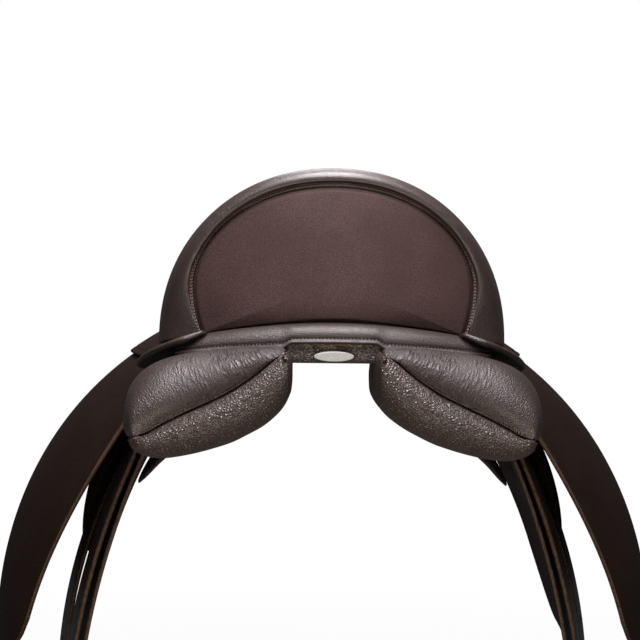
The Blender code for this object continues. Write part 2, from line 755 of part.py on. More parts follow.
def make_sweat_flap(side, place):
    sign = SIDES[side]

    def surface(u, v):
        length = rounded_length(SWEAT_LENGTH, SWEAT_CORNER, u)
        rough = v * length
        y = through(SWEAT_REAR_EDGE, rough) * (1 - u) + through(SWEAT_FRONT_EDGE, rough) * u
        top = notch(y) * 0.9
        s = top + (length - top) * v
        x, y, z = sweat_point(s, y, 0.0)
        return sign * x, y, z

    name = f"sweat_flap_{side}"
    sheet(name, surface, 12, 11, SWEAT_THICKNESS, look(name, DARK_BROWN, 0.5), place)


def make_thigh_block(side, place):
    # A tapered cushion standing on the sweat flap
    sign = SIDES[side]
    base = SWEAT_THICKNESS / 2 + BLOCK_GAP
    rings = []
    steps = 9
    for k in range(steps + 1):
        t = k / steps
        s = BLOCK_TOP + BLOCK_LENGTH * t
        swell = math.sin(math.pi * (0.04 + 0.92 * t)) ** 0.45
        lean = BLOCK_LEAN * math.sin(math.pi * t)
        ring = []
        for j in range(14):
            a = 2 * math.pi * j / 14
            q = math.copysign(abs(math.cos(a)) ** 0.7, math.cos(a))
            h = math.copysign(abs(math.sin(a)) ** 0.7, math.sin(a))
            y = BLOCK_Y + lean + BLOCK_WIDTH / 2 * swell * q * (1.0 - BLOCK_TAPER * h)
            out = base + BLOCK_HEIGHT * swell * (0.5 + 0.5 * h)
            x, y, z = sweat_point(s, y, out)
            ring.append((sign * x, y, z))
        rings.append(ring)
    loft(f"thigh_block_{side}", rings, look(f"thigh_block_{side}", BROWN, 0.5), place)


def head_frame(k):
    # Middle of the head arch and its outward direction (x, z), k steps right of the middle line
    keys = [(x, z) for x, z in HEAD_ARCH[::-1]]
    for share in (0.10, 0.40, 0.70, 1.0):
        x, _, z = sweat_point(POINT_LENGTH * share, HEAD_Y, -POINT_INSET)
        keys.append((x, z))
    mirrored = [(-x, z) for x, z in keys[:0:-1]] + keys
    t = 0.5 + k / (2 * HEAD_STEPS)
    low = Vector(along(mirrored, max(0.0, t - 0.008)))
    high = Vector(along(mirrored, min(1.0, t + 0.008)))
    x, z = along(mirrored, t)
    run = (high - low).normalized()
    return x, z, -run.y, run.x


def make_head(place):
    rings = []
    for k in range(-HEAD_STEPS, HEAD_STEPS + 1, 2):
        x, z, out_x, out_z = head_frame(k)
        end = HEAD_STEPS - abs(k)
        thick = HEAD_THICKNESS / 2 * min(1.0, 0.62 + 0.03 * end)
        deep = HEAD_DEPTH / 2 * min(1.0, 0.7 + 0.04 * end)
        rings.append([(x + out_x * thick * p, HEAD_Y + deep * q, z + out_z * thick * p)
                      for p, q in ((1, 1), (1, -1), (-1, -1), (-1, 1))])
    loft("tree_head", rings, look("tree_head", WOOD, 0.6), place)


def arch_plate(name, offset, width, reach, place):
    # A steel plate bent to the head arch, offset out from the arch's middle line
    def surface(u, v):
        x, z, out_x, out_z = head_frame(reach * (2 * v - 1))
        return x + out_x * offset, HEAD_Y + width * (u - 0.5), z + out_z * offset

    sheet(name, surface, 2, reach, PLATE_THICKNESS, look(name, BLACK_STEEL, 0.4, 0.8), place)


def rail_centre(y):
    start = hinge_point(y)
    return start.x - RAIL_INSET - RAIL_WIDTH / 2, start.z - RAIL_DROP


def make_rail(side, place):
    sign = SIDES[side]
    front = HEAD_Y - HEAD_DEPTH / 2 - GAP
    rings = []
    for k in range(10):
        y = RAIL_REAR_Y + (front - RAIL_REAR_Y) * k / 9
        x, z = rail_centre(max(y, HINGE_REAR.y))
        lean = rail_lean(y)
        along_x, along_z = math.cos(lean), -math.sin(lean)
        narrow = through([(-0.17, 0.75), (0.0, 1.0), (0.15, 0.80)], y)
        ring = []
        for p, q in ((1, 1), (1, -1), (-1, -1), (-1, 1)):
            px = p * RAIL_WIDTH / 2 * narrow
            pz = q * RAIL_THICKNESS / 2
            ring.append((sign * (x + along_x * px + along_z * -pz), y, z + along_z * px + along_x * pz))
        rings.append(ring)
    loft(f"tree_rail_{side}", rings, look(f"tree_rail_{side}", WOOD, 0.6), place)


def make_cantle_board(place):
    # The cantle's curved board, an arch of wood between the facing and the seat
    def surface(u, v):
        a = math.pi * (1 - u)
        wide = CANTLE_BOARD_INNER[0] + (CANTLE_BOARD_OUTER[0] - CANTLE_BOARD_INNER[0]) * v
        tall = CANTLE_BOARD_INNER[1] + (CANTLE_BOARD_OUTER[1] - CANTLE_BOARD_INNER[1]) * v
        x = wide * math.cos(a)
        z = CANTLE_BOARD_Z + tall * math.sin(a) ** 0.9
        steep = math.hypot(1.0, x / CANTLE_BACK_RADIUS)
        return x, cantle_back(x) + FACING_THICKNESS + (CANTLE_BOARD / 2 + 4 * GAP) * steep, z

    name = "tree_cantle"
    sheet(name, surface, 20, 3, CANTLE_BOARD, look(name, WOOD, 0.6), place)


def rail_lean(y):
    return math.radians(through(RAIL_LEANS, y))


def bar_frame(side, u, t, n):
    # From the bar's own frame, along the rail, out down the side and up off the rail, to the saddle's
    ahead = (HINGE_FRONT - HINGE_REAR).normalized()
    lean = rail_lean(BAR_Y)
    down = Vector((math.cos(lean), 0.0, -math.sin(lean)))
    up = down.cross(ahead).normalized()
    up = up if up.z > 0 else -up
    down = ahead.cross(up).normalized()
    cx, cz = rail_centre(BAR_Y)
    off = RAIL_THICKNESS / 2 + BAR_OFF_RAIL + BAR_PLATE_THICKNESS / 2
    point = Vector((cx, BAR_Y, cz)) + ahead * u + down * (BAR_SEAT + t) + up * (off + n)
    return SIDES[side] * point.x, point.y, point.z


def bar_section(side, u, t, n, heading, wide, thick):
    # Four corners across the bar's path, which heads this way in its plane
    across = (-math.sin(heading), math.cos(heading))
    return [bar_frame(side, u + across[0] * wide / 2 * p, t + across[1] * wide / 2 * p, n + thick / 2 * q)
            for p, q in ((1, 1), (1, -1), (-1, -1), (-1, 1))]


def cylinder(name, start, end, radius, sides=12):
    # A plain round bar between two points, not yet in a collection
    start, end = Vector(start), Vector(end)
    shape = bmesh.new()
    length = (end - start).length
    bmesh.ops.create_cone(shape, cap_ends=True, segments=sides, radius1=radius, radius2=radius, depth=length)
    turn = Vector((0, 0, 1)).rotation_difference((end - start).normalized()).to_matrix().to_4x4()
    bmesh.ops.transform(shape, matrix=turn, verts=shape.verts)
    bmesh.ops.translate(shape, vec=(start + end) / 2, verts=shape.verts)
    mesh = bpy.data.meshes.new(name)
    shape.to_mesh(mesh)
    shape.free()
    return mesh


def cut_with(made, name, mesh):
    # Cuts a closed mesh out of the object
    cutter = bpy.data.objects.new(name, mesh)
    cutters().objects.link(cutter)
    cutter.hide_render = True
    cutter.display_type = "WIRE"
    cut = made.modifiers.new(name, "BOOLEAN")
    cut.operation = "DIFFERENCE"
    cut.solver = "EXACT"
    cut.object = cutter


def cutters():
    return bpy.data.collections.get("cutters") or new_collection("cutters")


def block_mesh(name, corners):
    # A box given by its eight corners, the four of one end and then the four of the other
    shape = bmesh.new()
    made = bmesh.ops.create_cube(shape, size=2.0)["verts"]
    for vertex in made:
        near = 0 if vertex.co.x < 0 else 4
        around = {(1, 1): 0, (1, -1): 1, (-1, -1): 2, (-1, 1): 3}
        vertex.co = Vector(corners[near + around[(round(vertex.co.y), round(vertex.co.z))]])
    shape.normal_update()
    bmesh.ops.recalc_face_normals(shape, faces=shape.faces)
    mesh = bpy.data.meshes.new(name)
    shape.to_mesh(mesh)
    shape.free()
    return mesh


def fork_pin_u():
    return -BAR_PLATE_LENGTH / 2 + CATCH_LENGTH + FORK_DEPTH / 2


def make_stirrup_bar(side, place):
    half = BAR_PLATE_LENGTH / 2
    turn_radius = BAR_REACH / 2
    front = half - turn_radius
    steel = look(f"stirrup_bar_{side}", STEEL, 0.3, 1.0)
    rings = [bar_section(side, -half, 0.0, 0.0, 0.0, BAR_PLATE_WIDTH * 0.55, BAR_PLATE_THICKNESS),
             bar_section(side, -half + 0.006, 0.0, 0.0, 0.0, BAR_PLATE_WIDTH, BAR_PLATE_THICKNESS),
             bar_section(side, front - 0.004, 0.0, 0.0, 0.0, BAR_PLATE_WIDTH, BAR_PLATE_THICKNESS)]
    turns = 9
    for k in range(turns + 1):
        f = k / turns
        heading = math.pi * f
        u = front + turn_radius * math.sin(heading)
        t = turn_radius * (1 - math.cos(heading))
        rise = BAR_RISE * f * f * (3 - 2 * f)
        wide = BAR_PLATE_WIDTH + (BAR_WIDTH - BAR_PLATE_WIDTH) * min(1.0, f * 2)
        thick = BAR_PLATE_THICKNESS + (BAR_THICKNESS - BAR_PLATE_THICKNESS) * min(1.0, f * 2)
        rings.append(bar_section(side, u, t, rise, heading, wide, thick))
    end = -half + CATCH_LENGTH
    rings.append(bar_section(side, end, BAR_REACH, BAR_RISE, math.pi, BAR_WIDTH, BAR_THICKNESS))
    made = loft(f"stirrup_bar_{side}", rings, steel, place)
    slot = [bar_frame(side, u, BAR_REACH + FORK_SLOT / 2 * p, BAR_RISE + BAR_THICKNESS * q)
            for u in (end - 0.001, end + FORK_DEPTH) for p, q in ((1, 1), (1, -1), (-1, -1), (-1, 1))]
    cut_with(made, f"bar_slot_{side}", block_mesh(f"bar_slot_{side}", slot))
    low, high = (bar_frame(side, fork_pin_u(), BAR_REACH + k * BAR_WIDTH, BAR_RISE) for k in (-1, 1))
    cut_with(made, f"bar_bore_{side}", cylinder(f"bar_bore_{side}", low, high, PIN_RADIUS + PIN_CLEARANCE))
    for where, u in RIVET_PLACES.items():
        ends = (bar_frame(side, u, 0.0, k * BAR_PLATE_THICKNESS) for k in (-1, 1))
        name = f"rivet_hole_{where}_{side}"
        cut_with(made, name, cylinder(name, *ends, RIVET_SHANK + 2 * PIN_CLEARANCE))


def make_catch(side, place):
    # The hinged thumb piece that closes the bar: a tongue in the fork, widening to the bar's width
    u0 = fork_pin_u()
    tongue = FORK_SLOT - 2 * CATCH_CLEARANCE
    nose = FORK_DEPTH / 2 - CATCH_NOSE_GAP
    tail = -BAR_PLATE_LENGTH / 2
    fork_end = tail + CATCH_LENGTH
    profile = [(u0 + nose, tongue, 0.0030, 0.0), (u0 + nose * 0.6, tongue, CATCH_THICKNESS, 0.0),
               (fork_end - CATCH_SHOULDER, tongue, CATCH_THICKNESS, 0.0),
               (fork_end - CATCH_SHOULDER - 0.0006, BAR_WIDTH * 0.96, CATCH_THICKNESS, 0.0),
               (fork_end - 0.009, BAR_WIDTH * 0.90, 0.0044, 0.0002),
               (tail + 0.005, BAR_WIDTH * 0.80, 0.0034, CATCH_THUMB * 0.4),
               (tail, BAR_WIDTH * 0.62, 0.0030, CATCH_THUMB)]
    rings = [[bar_frame(side, u, BAR_REACH + wide / 2 * p, BAR_RISE + lift + thick / 2 * q)
              for p, q in ((1, 1), (1, -1), (-1, -1), (-1, 1))] for u, wide, thick, lift in profile]
    made = loft(f"bar_catch_{side}", rings, look(f"bar_catch_{side}", STEEL, 0.3, 1.0), place)
    low, high = (bar_frame(side, u0, BAR_REACH + k * BAR_WIDTH, BAR_RISE) for k in (-1, 1))
    name = f"catch_bore_{side}"
    cut_with(made, name, cylinder(name, low, high, PIN_RADIUS + PIN_CLEARANCE))
    set_pivot(made, bar_frame(side, u0, BAR_REACH, BAR_RISE))
    reach = BAR_WIDTH / 2 - 0.0002
    low, high = (bar_frame(side, u0, BAR_REACH + k * reach, BAR_RISE) for k in (-1, 1))
    name = f"catch_pin_{side}"
    pin = cylinder(name, low, high, PIN_RADIUS)
    mesh_object(name, pin, place, look(name, STEEL, 0.35, 1.0))


def make_rivets(side, place):
    for where, u in RIVET_PLACES.items():
        name = f"bar_rivet_{where}_{side}"
        shank_low = -BAR_PLATE_THICKNESS / 2
        face = BAR_PLATE_THICKNESS / 2 + 0.00005
        rings = []
        for n, r in ((shank_low, RIVET_SHANK), (face, RIVET_SHANK), (face, RIVET_HEAD),
                     (face + RIVET_DOME * 0.6, RIVET_HEAD * 0.85), (face + RIVET_DOME, RIVET_HEAD * 0.45)):
            rings.append([bar_frame(side, u + r * math.cos(a), r * math.sin(a), n)
                          for a in (2 * math.pi * k / 12 for k in range(12))])
        loft(name, rings, look(name, STEEL, 0.4, 1.0), place)


def strap_section(place_y, s, out):
    # The strap's path in the plane across the saddle: down the sweat flap's arc, then straight
    if s <= STRAP_STRAIGHT:
        x, _, z = sweat_point(s, place_y, out)
        return x, z
    x, _, z = sweat_point(STRAP_STRAIGHT, place_y, out)
    slope = sweat_slope(place_y)
    now = slope + (SWEAT_END_SLOPE - slope) * STRAP_STRAIGHT / SWEAT_LENGTH
    more = s - STRAP_STRAIGHT
    return x + more * math.cos(now), z - more * math.sin(now)


def strap_twist(s):
    f = min(1.0, max(0.0, (s - WEB_LENGTH - 0.010) / 0.080))
    return STRAP_TWIST * f * f * (3 - 2 * f)


def strap_point(side, place_y, s, w, out=0.0):
    x, z = strap_section(place_y, s, STRAP_STANDOFF + out + strap_twist(s) * w)
    return SIDES[side] * x, place_y + w, z


def strap_pivot(side, place_y):
    x, z = strap_section(place_y, STRAP_PIVOT, STRAP_STANDOFF)
    return SIDES[side] * x, place_y, z


def make_girth_strap(side, where, place):
    place_y = STRAP_PLACES[where]
    end = STRAP_TOP + STRAP_LENGTH

    def surface(u, v):
        s = STRAP_TOP + STRAP_LENGTH * v
        left = end - s
        half = STRAP_WIDTH / 2
        if left < STRAP_TIP:
            half *= 0.45 + 0.55 * math.sqrt(max(0.0, 1 - (1 - left / STRAP_TIP) ** 2))
        return strap_point(side, place_y, s, half * (2 * u - 1))

    name = f"girth_strap_{where}_{side}"
    made = sheet(name, surface, 2, 26, STRAP_THICKNESS, look(name, DARK_BROWN, 0.35), place)
    for k in range(STRAP_HOLES):
        s = end - STRAP_END_MARGIN - k * STRAP_HOLE_SPACING
        ends = [strap_point(side, place_y, s, 0.0, reach) for reach in (-STRAP_THICKNESS, STRAP_THICKNESS)]
        hole = f"{name}_hole_{k + 1}"
        cut_with(made, hole, cylinder(hole, *ends, STRAP_HOLE_RADIUS, STRAP_HOLE_SIDES))
    set_pivot(made, strap_pivot(side, place_y))


def make_girth_web(side, where, place):
    # The webbing that the strap is sewn to, from the rail's outer edge down behind the strap
    place_y = STRAP_PLACES[where]
    resting = STRAP_STANDOFF - STRAP_THICKNESS / 2 - WEB_RUNNING_GAP - WEB_THICKNESS / 2
    low = SWEAT_THICKNESS / 2 + WEB_THICKNESS / 2 + WEB_OFF_SWEAT_FLAP

    def surface(u, v):
        s = WEB_START + (WEB_LENGTH - WEB_START) * v
        f = min(1.0, v / 0.45)
        out = low + (resting - low) * f * f * (3 - 2 * f)
        x, z = strap_section(place_y, s, out)
        return SIDES[side] * x, place_y + WEB_WIDTH * (u - 0.5), z

    name = f"girth_web_{where}_{side}"
    sheet(name, surface, 2, 7, WEB_THICKNESS, look(name, CANVAS, 0.9), place)


def ring_plate_place(out, along_face):
    # A point (x, z) over the outer face of the head arch, out off it and down along it
    x, z, out_x, out_z = head_frame(RING_PLATE_STEP)
    face = HEAD_THICKNESS / 2 + RING_PLATE_OFF_HEAD + out
    return x + out_x * face + out_z * along_face, z + out_z * face - out_x * along_face


def ring_axis(side):
    # The middle of the ring's straight bar
    x, z = ring_plate_place(LUG_RADIUS, 0.0)
    return Vector((SIDES[side] * x, RING_Y, z))


def make_ring(side, place):
    # The ring, a D in wire, lying down the side at rest
    sign = SIDES[side]
    axis = ring_axis(side)
    _, _, out_x, out_z = head_frame(RING_PLATE_STEP)
    down = Vector((sign * out_z, 0.0, -out_x))
    along_y = Vector((0.0, 1.0, 0.0))
    half = RING_WIDTH / 2
    points = []
    for k in range(5):
        points.append(axis + along_y * half * 0.8 * (k / 2 - 1))
    for k in range(11):
        a = math.pi * k / 10
        drop = RING_SHOULDER + (RING_DROP - RING_SHOULDER) * math.sin(a) ** 0.8
        points.append(axis + along_y * half * math.cos(a) + down * drop)
    name = f"breastplate_ring_{side}"
    made = tube(name, points, RING_WIRE, look(name, STEEL, 0.25, 1.0), place, cyclic=True)
    set_pivot(made, axis)
    make_ring_plate(side, axis, place)


def make_ring_plate(side, axis, place):
    # The plate over the head arch, with the bored lug that the ring turns in
    sign = SIDES[side]
    along_y = Vector((0.0, 1.0, 0.0))
    name = f"ring_plate_{side}"
    sides = 14
    rings = []
    rear = HEAD_Y - RING_PLATE_REAR
    low = LUG_LENGTH / 2
    base = [ring_plate_place(RING_PLATE_THICKNESS * q, RING_PLATE_WIDTH / 2 * p)
            for p, q in ((1, 1), (1, 0), (-1, 0), (-1, 1))]
    rings.append([(sign * x, rear, z) for x, z in base])
    rings.append([(sign * x, RING_Y + low, z) for x, z in base])
    plate = loft(name, rings, look(name, STEEL, 0.35, 1.0), place)
    lug = cylinder(f"lug_{side}", axis - along_y * low, axis + along_y * low, LUG_RADIUS, sides)
    joined = bpy.data.objects.new(f"lug_{side}", lug)
    cutters().objects.link(joined)
    joined.hide_render = True
    joined.display_type = "WIRE"
    join = plate.modifiers.new("Lug", "BOOLEAN")
    join.operation = "UNION"
    join.solver = "EXACT"
    join.object = joined
    bore = f"lug_bore_{side}"
    ends = (axis - along_y * LUG_LENGTH, axis + along_y * LUG_LENGTH)
    cut_with(plate, bore, cylinder(bore, *ends, RING_WIRE + LUG_BORE_CLEARANCE, sides))


def make_nail(side, place):
    # The domed nail at the pommel's lower corner
    rows = len(SEAT_MIDDLE)
    t = NAIL_ROW / (rows - 1)
    a = NAIL_TURN if side == "right" else math.pi - NAIL_TURN
    spot = Vector(seat_row(t, a, rows))
    up = Vector(seat_row(t, a + 0.02, rows)) - Vector(seat_row(t, a - 0.02, rows))
    ahead = Vector(seat_row(t + 0.01, a, rows)) - Vector(seat_row(t - 0.01, a, rows))
    out = up.cross(ahead).normalized()
    if out.x * SIDES[side] < 0:
        out = -out
    up = out.cross(ahead).normalized()
    ahead = up.cross(out).normalized()
    rings = []
    for depth, share in ((NAIL_SEAT, 1.0), (NAIL_SEAT + NAIL_DOME * 0.45, 0.88),
                         (NAIL_SEAT + NAIL_DOME * 0.85, 0.52), (NAIL_SEAT + NAIL_DOME, 0.2)):
        rings.append([spot + out * depth + (up * math.cos(b) + ahead * math.sin(b)) * NAIL_RADIUS * share
                      for b in (2 * math.pi * k / 14 for k in range(14))])
    name = f"saddle_nail_{side}"
    loft(name, rings, look(name, STEEL, 0.25, 1.0), place)


def make_point_pocket(side, place):
    # The leather pocket that holds the tree point's tip against the sweat flap
    sign = SIDES[side]
    out = -POINT_INSET - HEAD_THICKNESS / 2 * POINT_TAPER - POCKET_THICKNESS / 2 - POCKET_GAP

    def surface(u, v):
        y = HEAD_Y + (HEAD_DEPTH / 2 + POCKET_MARGIN) * (2 * u - 1) * (1.0 - 0.25 * v * v)
        s = POINT_LENGTH - POCKET_RISE + POCKET_LENGTH * v
        x, _, z = sweat_point(s, HEAD_Y, out)
        return sign * x, y, z

    name = f"point_pocket_{side}"
    sheet(name, surface, 6, 6, POCKET_THICKNESS, look(name, DARK_BROWN, 0.55), place)


def make_seat_webs(place):
    # Two long webs from the head to the cantle, and one across from rail to rail under them
    depth = SEAT_LEATHER + FOAM_GAP + FOAM_THICKNESS + FOAM_GAP + SEAT_WEB_THICKNESS / 2
    middle = SEAT_COLUMNS / 2
    for side, sign in SIDES.items():
        columns = sorted((middle + sign * SEAT_WEB_COLUMNS[0], middle + sign * SEAT_WEB_COLUMNS[1]))
        surface = under_seat(*columns, *SEAT_WEB_ROWS, depth)
        name = f"seat_web_{side}"
        sheet(name, surface, 4, 2 * (SEAT_WEB_ROWS[1] - SEAT_WEB_ROWS[0]), SEAT_WEB_THICKNESS,
              look(name, CANVAS, 0.9), place)
    reach = CROSS_WEB_COLUMNS
    below = depth + SEAT_WEB_THICKNESS + FOAM_GAP
    across = under_seat(middle - reach, middle + reach, *CROSS_WEB_ROWS, below)
    name = "seat_web_cross"
    sheet(name, across, 2 * reach, 2, SEAT_WEB_THICKNESS, look(name, CANVAS, 0.9), place)


def make_spring(side, place):
    # The flat steel spring under each rail
    sign = SIDES[side]
    low, high = SPRING_REAR_Y, HEAD_Y - HEAD_DEPTH / 2 - SPRING_FRONT_MARGIN

    def surface(u, v):
        y = low + (high - low) * v
        cx, cz = rail_centre(max(y, HINGE_REAR.y))
        lean = rail_lean(y)
        across = SPRING_WIDTH * (u - 0.5)
        under = RAIL_THICKNESS / 2 + GAP + SPRING_THICKNESS / 2
        return (sign * (cx + across * math.cos(lean) - under * math.sin(lean)), y,
                cz - across * math.sin(lean) - under * math.cos(lean))

    name = f"rail_spring_{side}"
    sheet(name, surface, 2, 10, SPRING_THICKNESS, look(name, BLACK_STEEL, 0.4, 0.9), place)


def make_seat_welt(side, place):
    # The round welt along the seat's lower edge
    points = []
    for k in range(WELT_STEPS + 1):
        t = (WELT_FIRST + WELT_ROWS * k / WELT_STEPS) / (len(SEAT_EDGE) - 1)
        x, y, z = along(SEAT_EDGE, t)
        points.append((SIDES[side] * x, y, z - WELT_RADIUS - WELT_GAP))
    name = f"seat_welt_{side}"
    tube(name, points, WELT_RADIUS, look(name, BROWN, 0.4), place)


def main():
    clear_scene()
    place = new_collection("dressage_saddle")
    make_seat(place)
    make_foam(place)
    make_facing(place)
    make_band(place)
    make_gullet_strip(place)
    make_badge(place)
    make_head(place)
    against = HEAD_THICKNESS / 2 + PLATE_THICKNESS / 2 + GAP
    arch_plate("gullet_plate", -against, HEAD_DEPTH * 0.8, GULLET_PLATE_REACH, place)
    arch_plate("head_plate", against, HEAD_DEPTH * 0.7, HEAD_PLATE_REACH, place)
    make_cantle_board(place)
    for side in SIDES:
        make_panel(side, place)
        make_flap(side, place)
        make_skirt(side, place)
        make_cantle_skirt(side, place)
        make_sweat_flap(side, place)
        make_thigh_block(side, place)
        make_rail(side, place)
        make_spring(side, place)
        make_stirrup_bar(side, place)
        make_catch(side, place)
        make_rivets(side, place)
        make_ring(side, place)
        make_nail(side, place)
        make_point_pocket(side, place)
        make_seat_welt(side, place)
        for where in STRAP_PLACES:
            make_girth_web(side, where, place)
            make_girth_strap(side, where, place)
    make_seat_webs(place)


main()
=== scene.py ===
# The seen surface of a dressage saddle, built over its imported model.
# Metres, +X to the right, +Y to the horse's head, +Z up.
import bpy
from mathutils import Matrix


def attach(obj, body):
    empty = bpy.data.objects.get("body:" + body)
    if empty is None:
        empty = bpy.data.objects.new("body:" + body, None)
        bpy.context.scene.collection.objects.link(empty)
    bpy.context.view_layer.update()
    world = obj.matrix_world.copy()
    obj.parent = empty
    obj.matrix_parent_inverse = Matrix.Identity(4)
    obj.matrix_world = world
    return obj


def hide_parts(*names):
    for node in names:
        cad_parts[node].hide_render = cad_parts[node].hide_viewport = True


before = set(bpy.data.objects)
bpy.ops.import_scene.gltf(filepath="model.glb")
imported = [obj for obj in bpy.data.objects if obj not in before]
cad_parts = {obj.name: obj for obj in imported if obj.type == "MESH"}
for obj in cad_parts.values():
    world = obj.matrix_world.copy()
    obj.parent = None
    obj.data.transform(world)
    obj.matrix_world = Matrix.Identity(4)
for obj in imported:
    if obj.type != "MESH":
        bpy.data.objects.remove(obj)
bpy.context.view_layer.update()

import math

import bmesh
import bpy
import numpy as np
from mathutils import Matrix, Vector
from mathutils.kdtree import KDTree

sides = {"left": -1.0, "right": 1.0}


def flipped(side):
    return np.array([sides[side], 1.0, 1.0])


# Curves and grids

def smoothThrough(keys, t):
    # cubic pieces through the keys (place, values), slopes from the two neighbours, level past the ends
    keys = np.asarray(keys, float)
    xs, ys = keys[:, 0], keys[:, 1:]
    slopes = np.empty_like(ys)
    slopes[1:-1] = (ys[2:] - ys[:-2]) / (xs[2:] - xs[:-2])[:, None]
    slopes[0] = (ys[1] - ys[0]) / (xs[1] - xs[0])
    slopes[-1] = (ys[-1] - ys[-2]) / (xs[-1] - xs[-2])
    t = np.clip(np.asarray(t, float), xs[0], xs[-1])
    i = np.clip(np.searchsorted(xs, t, side="right") - 1, 0, len(xs) - 2)
    span = (xs[i + 1] - xs[i])[..., None]
    f = (t - xs[i])[..., None] / span
    value = ((2 * f ** 3 - 3 * f ** 2 + 1) * ys[i] + (f ** 3 - 2 * f ** 2 + f) * span * slopes[i]
             + (3 * f ** 2 - 2 * f ** 3) * ys[i + 1] + (f ** 3 - f ** 2) * span * slopes[i + 1])
    return value[..., 0] if keys.shape[1] == 2 else value


def alongPoints(points, t):
    # the point at t, 0 to 1, on a smooth curve through the points
    keys = [(i, *p) for i, p in enumerate(points)]
    return smoothThrough(keys, np.asarray(t, float) * (len(points) - 1))


def smoothStep(low, high, x):
    f = np.clip((x - low) / (high - low), 0.0, 1.0)
    return f * f * (3 - 2 * f)


def bell(x, width):
    return np.exp(-(x / width) ** 2)


def stacked(x, y, z):
    return np.stack(np.broadcast_arrays(x, y, z), axis=-1)


def unit(v):
    return v / np.maximum(np.linalg.norm(v, axis=-1, keepdims=True), 1e-12)


def gridNormals(p):
    # across the grid: along the rows crossed with along the columns
    return unit(np.cross(np.gradient(p, axis=0), np.gradient(p, axis=1)))


def walked(p, axis=0):
    # how far each point lies from the first, walked from point to point along the axis
    first = np.take(p, [0], axis=axis)
    return np.linalg.norm(np.diff(p, axis=axis, prepend=first), axis=-1).cumsum(axis=axis)


def gridUv(p):
    # metres along the rows, from the grid's middle column, and metres down from its first row
    across, down = walked(p, 1), walked(p)
    across = across - across[:, across.shape[1] // 2, None]
    return np.stack([across, down.mean(axis=1, keepdims=True) + 0 * down], axis=-1)


def wander(x, seed, turns=5):
    # a smooth, fixed, random-looking line: a sum of sines with seeded rates and phases
    draw = np.random.default_rng(seed)
    rates = draw.uniform(0.4, 2.6, turns) * np.arange(1, turns + 1)
    phases = draw.uniform(0, 2 * math.pi, turns)
    total = sum(np.sin(x * r + q) / (k + 1) for k, (r, q) in enumerate(zip(rates, phases)))
    return total / 1.8


# Meshes

def meshFrom(name, points, quads, uv=None, masks=None, rims=None, weld=0.0):
    # points as one array, faces as rows of four indices; normals made to point outwards
    mesh = bpy.data.meshes.new(name)
    mesh.vertices.add(len(points))
    mesh.vertices.foreach_set("co", points.astype(np.float32).ravel())
    mesh.loops.add(quads.size)
    mesh.loops.foreach_set("vertex_index", quads.astype(np.int32).ravel())
    mesh.polygons.add(len(quads))
    mesh.polygons.foreach_set("loop_start", np.arange(0, quads.size, 4, dtype=np.int32))
    if rims is not None:
        mesh.polygons.foreach_set("material_index", rims.astype(np.int32))
    mesh.update(calc_edges=True)
    if uv is not None:
        layer = mesh.uv_layers.new(name="UVMap")
        layer.data.foreach_set("uv", uv[quads.ravel()].astype(np.float32).ravel())
    for key, values in (masks or {}).items():
        layer = mesh.attributes.new(key, "FLOAT", "POINT")
        layer.data.foreach_set("value", np.asarray(values, np.float32).ravel())
    shape = bmesh.new()
    shape.from_mesh(mesh)
    if weld:
        bmesh.ops.remove_doubles(shape, verts=shape.verts, dist=weld)
    bmesh.ops.dissolve_degenerate(shape, edges=shape.edges, dist=1e-7)
    shape.normal_update()
    bmesh.ops.recalc_face_normals(shape, faces=shape.faces)
    shape.to_mesh(mesh)
    shape.free()
    mesh.shade_smooth()
    made = bpy.data.objects.new(name, mesh)
    bpy.context.scene.collection.objects.link(made)
    return made


def gridQuads(rows, columns, start=0, closed=False):
    r, c = np.meshgrid(np.arange(rows - 1), np.arange(columns if closed else columns - 1), indexing="ij")
    near = start + r * columns + c
    side = start + r * columns + (c + 1) % columns
    return np.stack([near, side, side + columns, near + columns], axis=-1).reshape(-1, 4)


rimTurns = (0.25, 0.5, 0.75)
# round a punched hole: the outline of four cells by four, walked once about its middle point
holeReach = 2
holeSteps = range(-holeReach, holeReach)
holeLoop = np.array([(-holeReach, k) for k in holeSteps] + [(k, holeReach) for k in holeSteps]
                    + [(holeReach, -k) for k in holeSteps] + [(-k, -holeReach) for k in holeSteps])


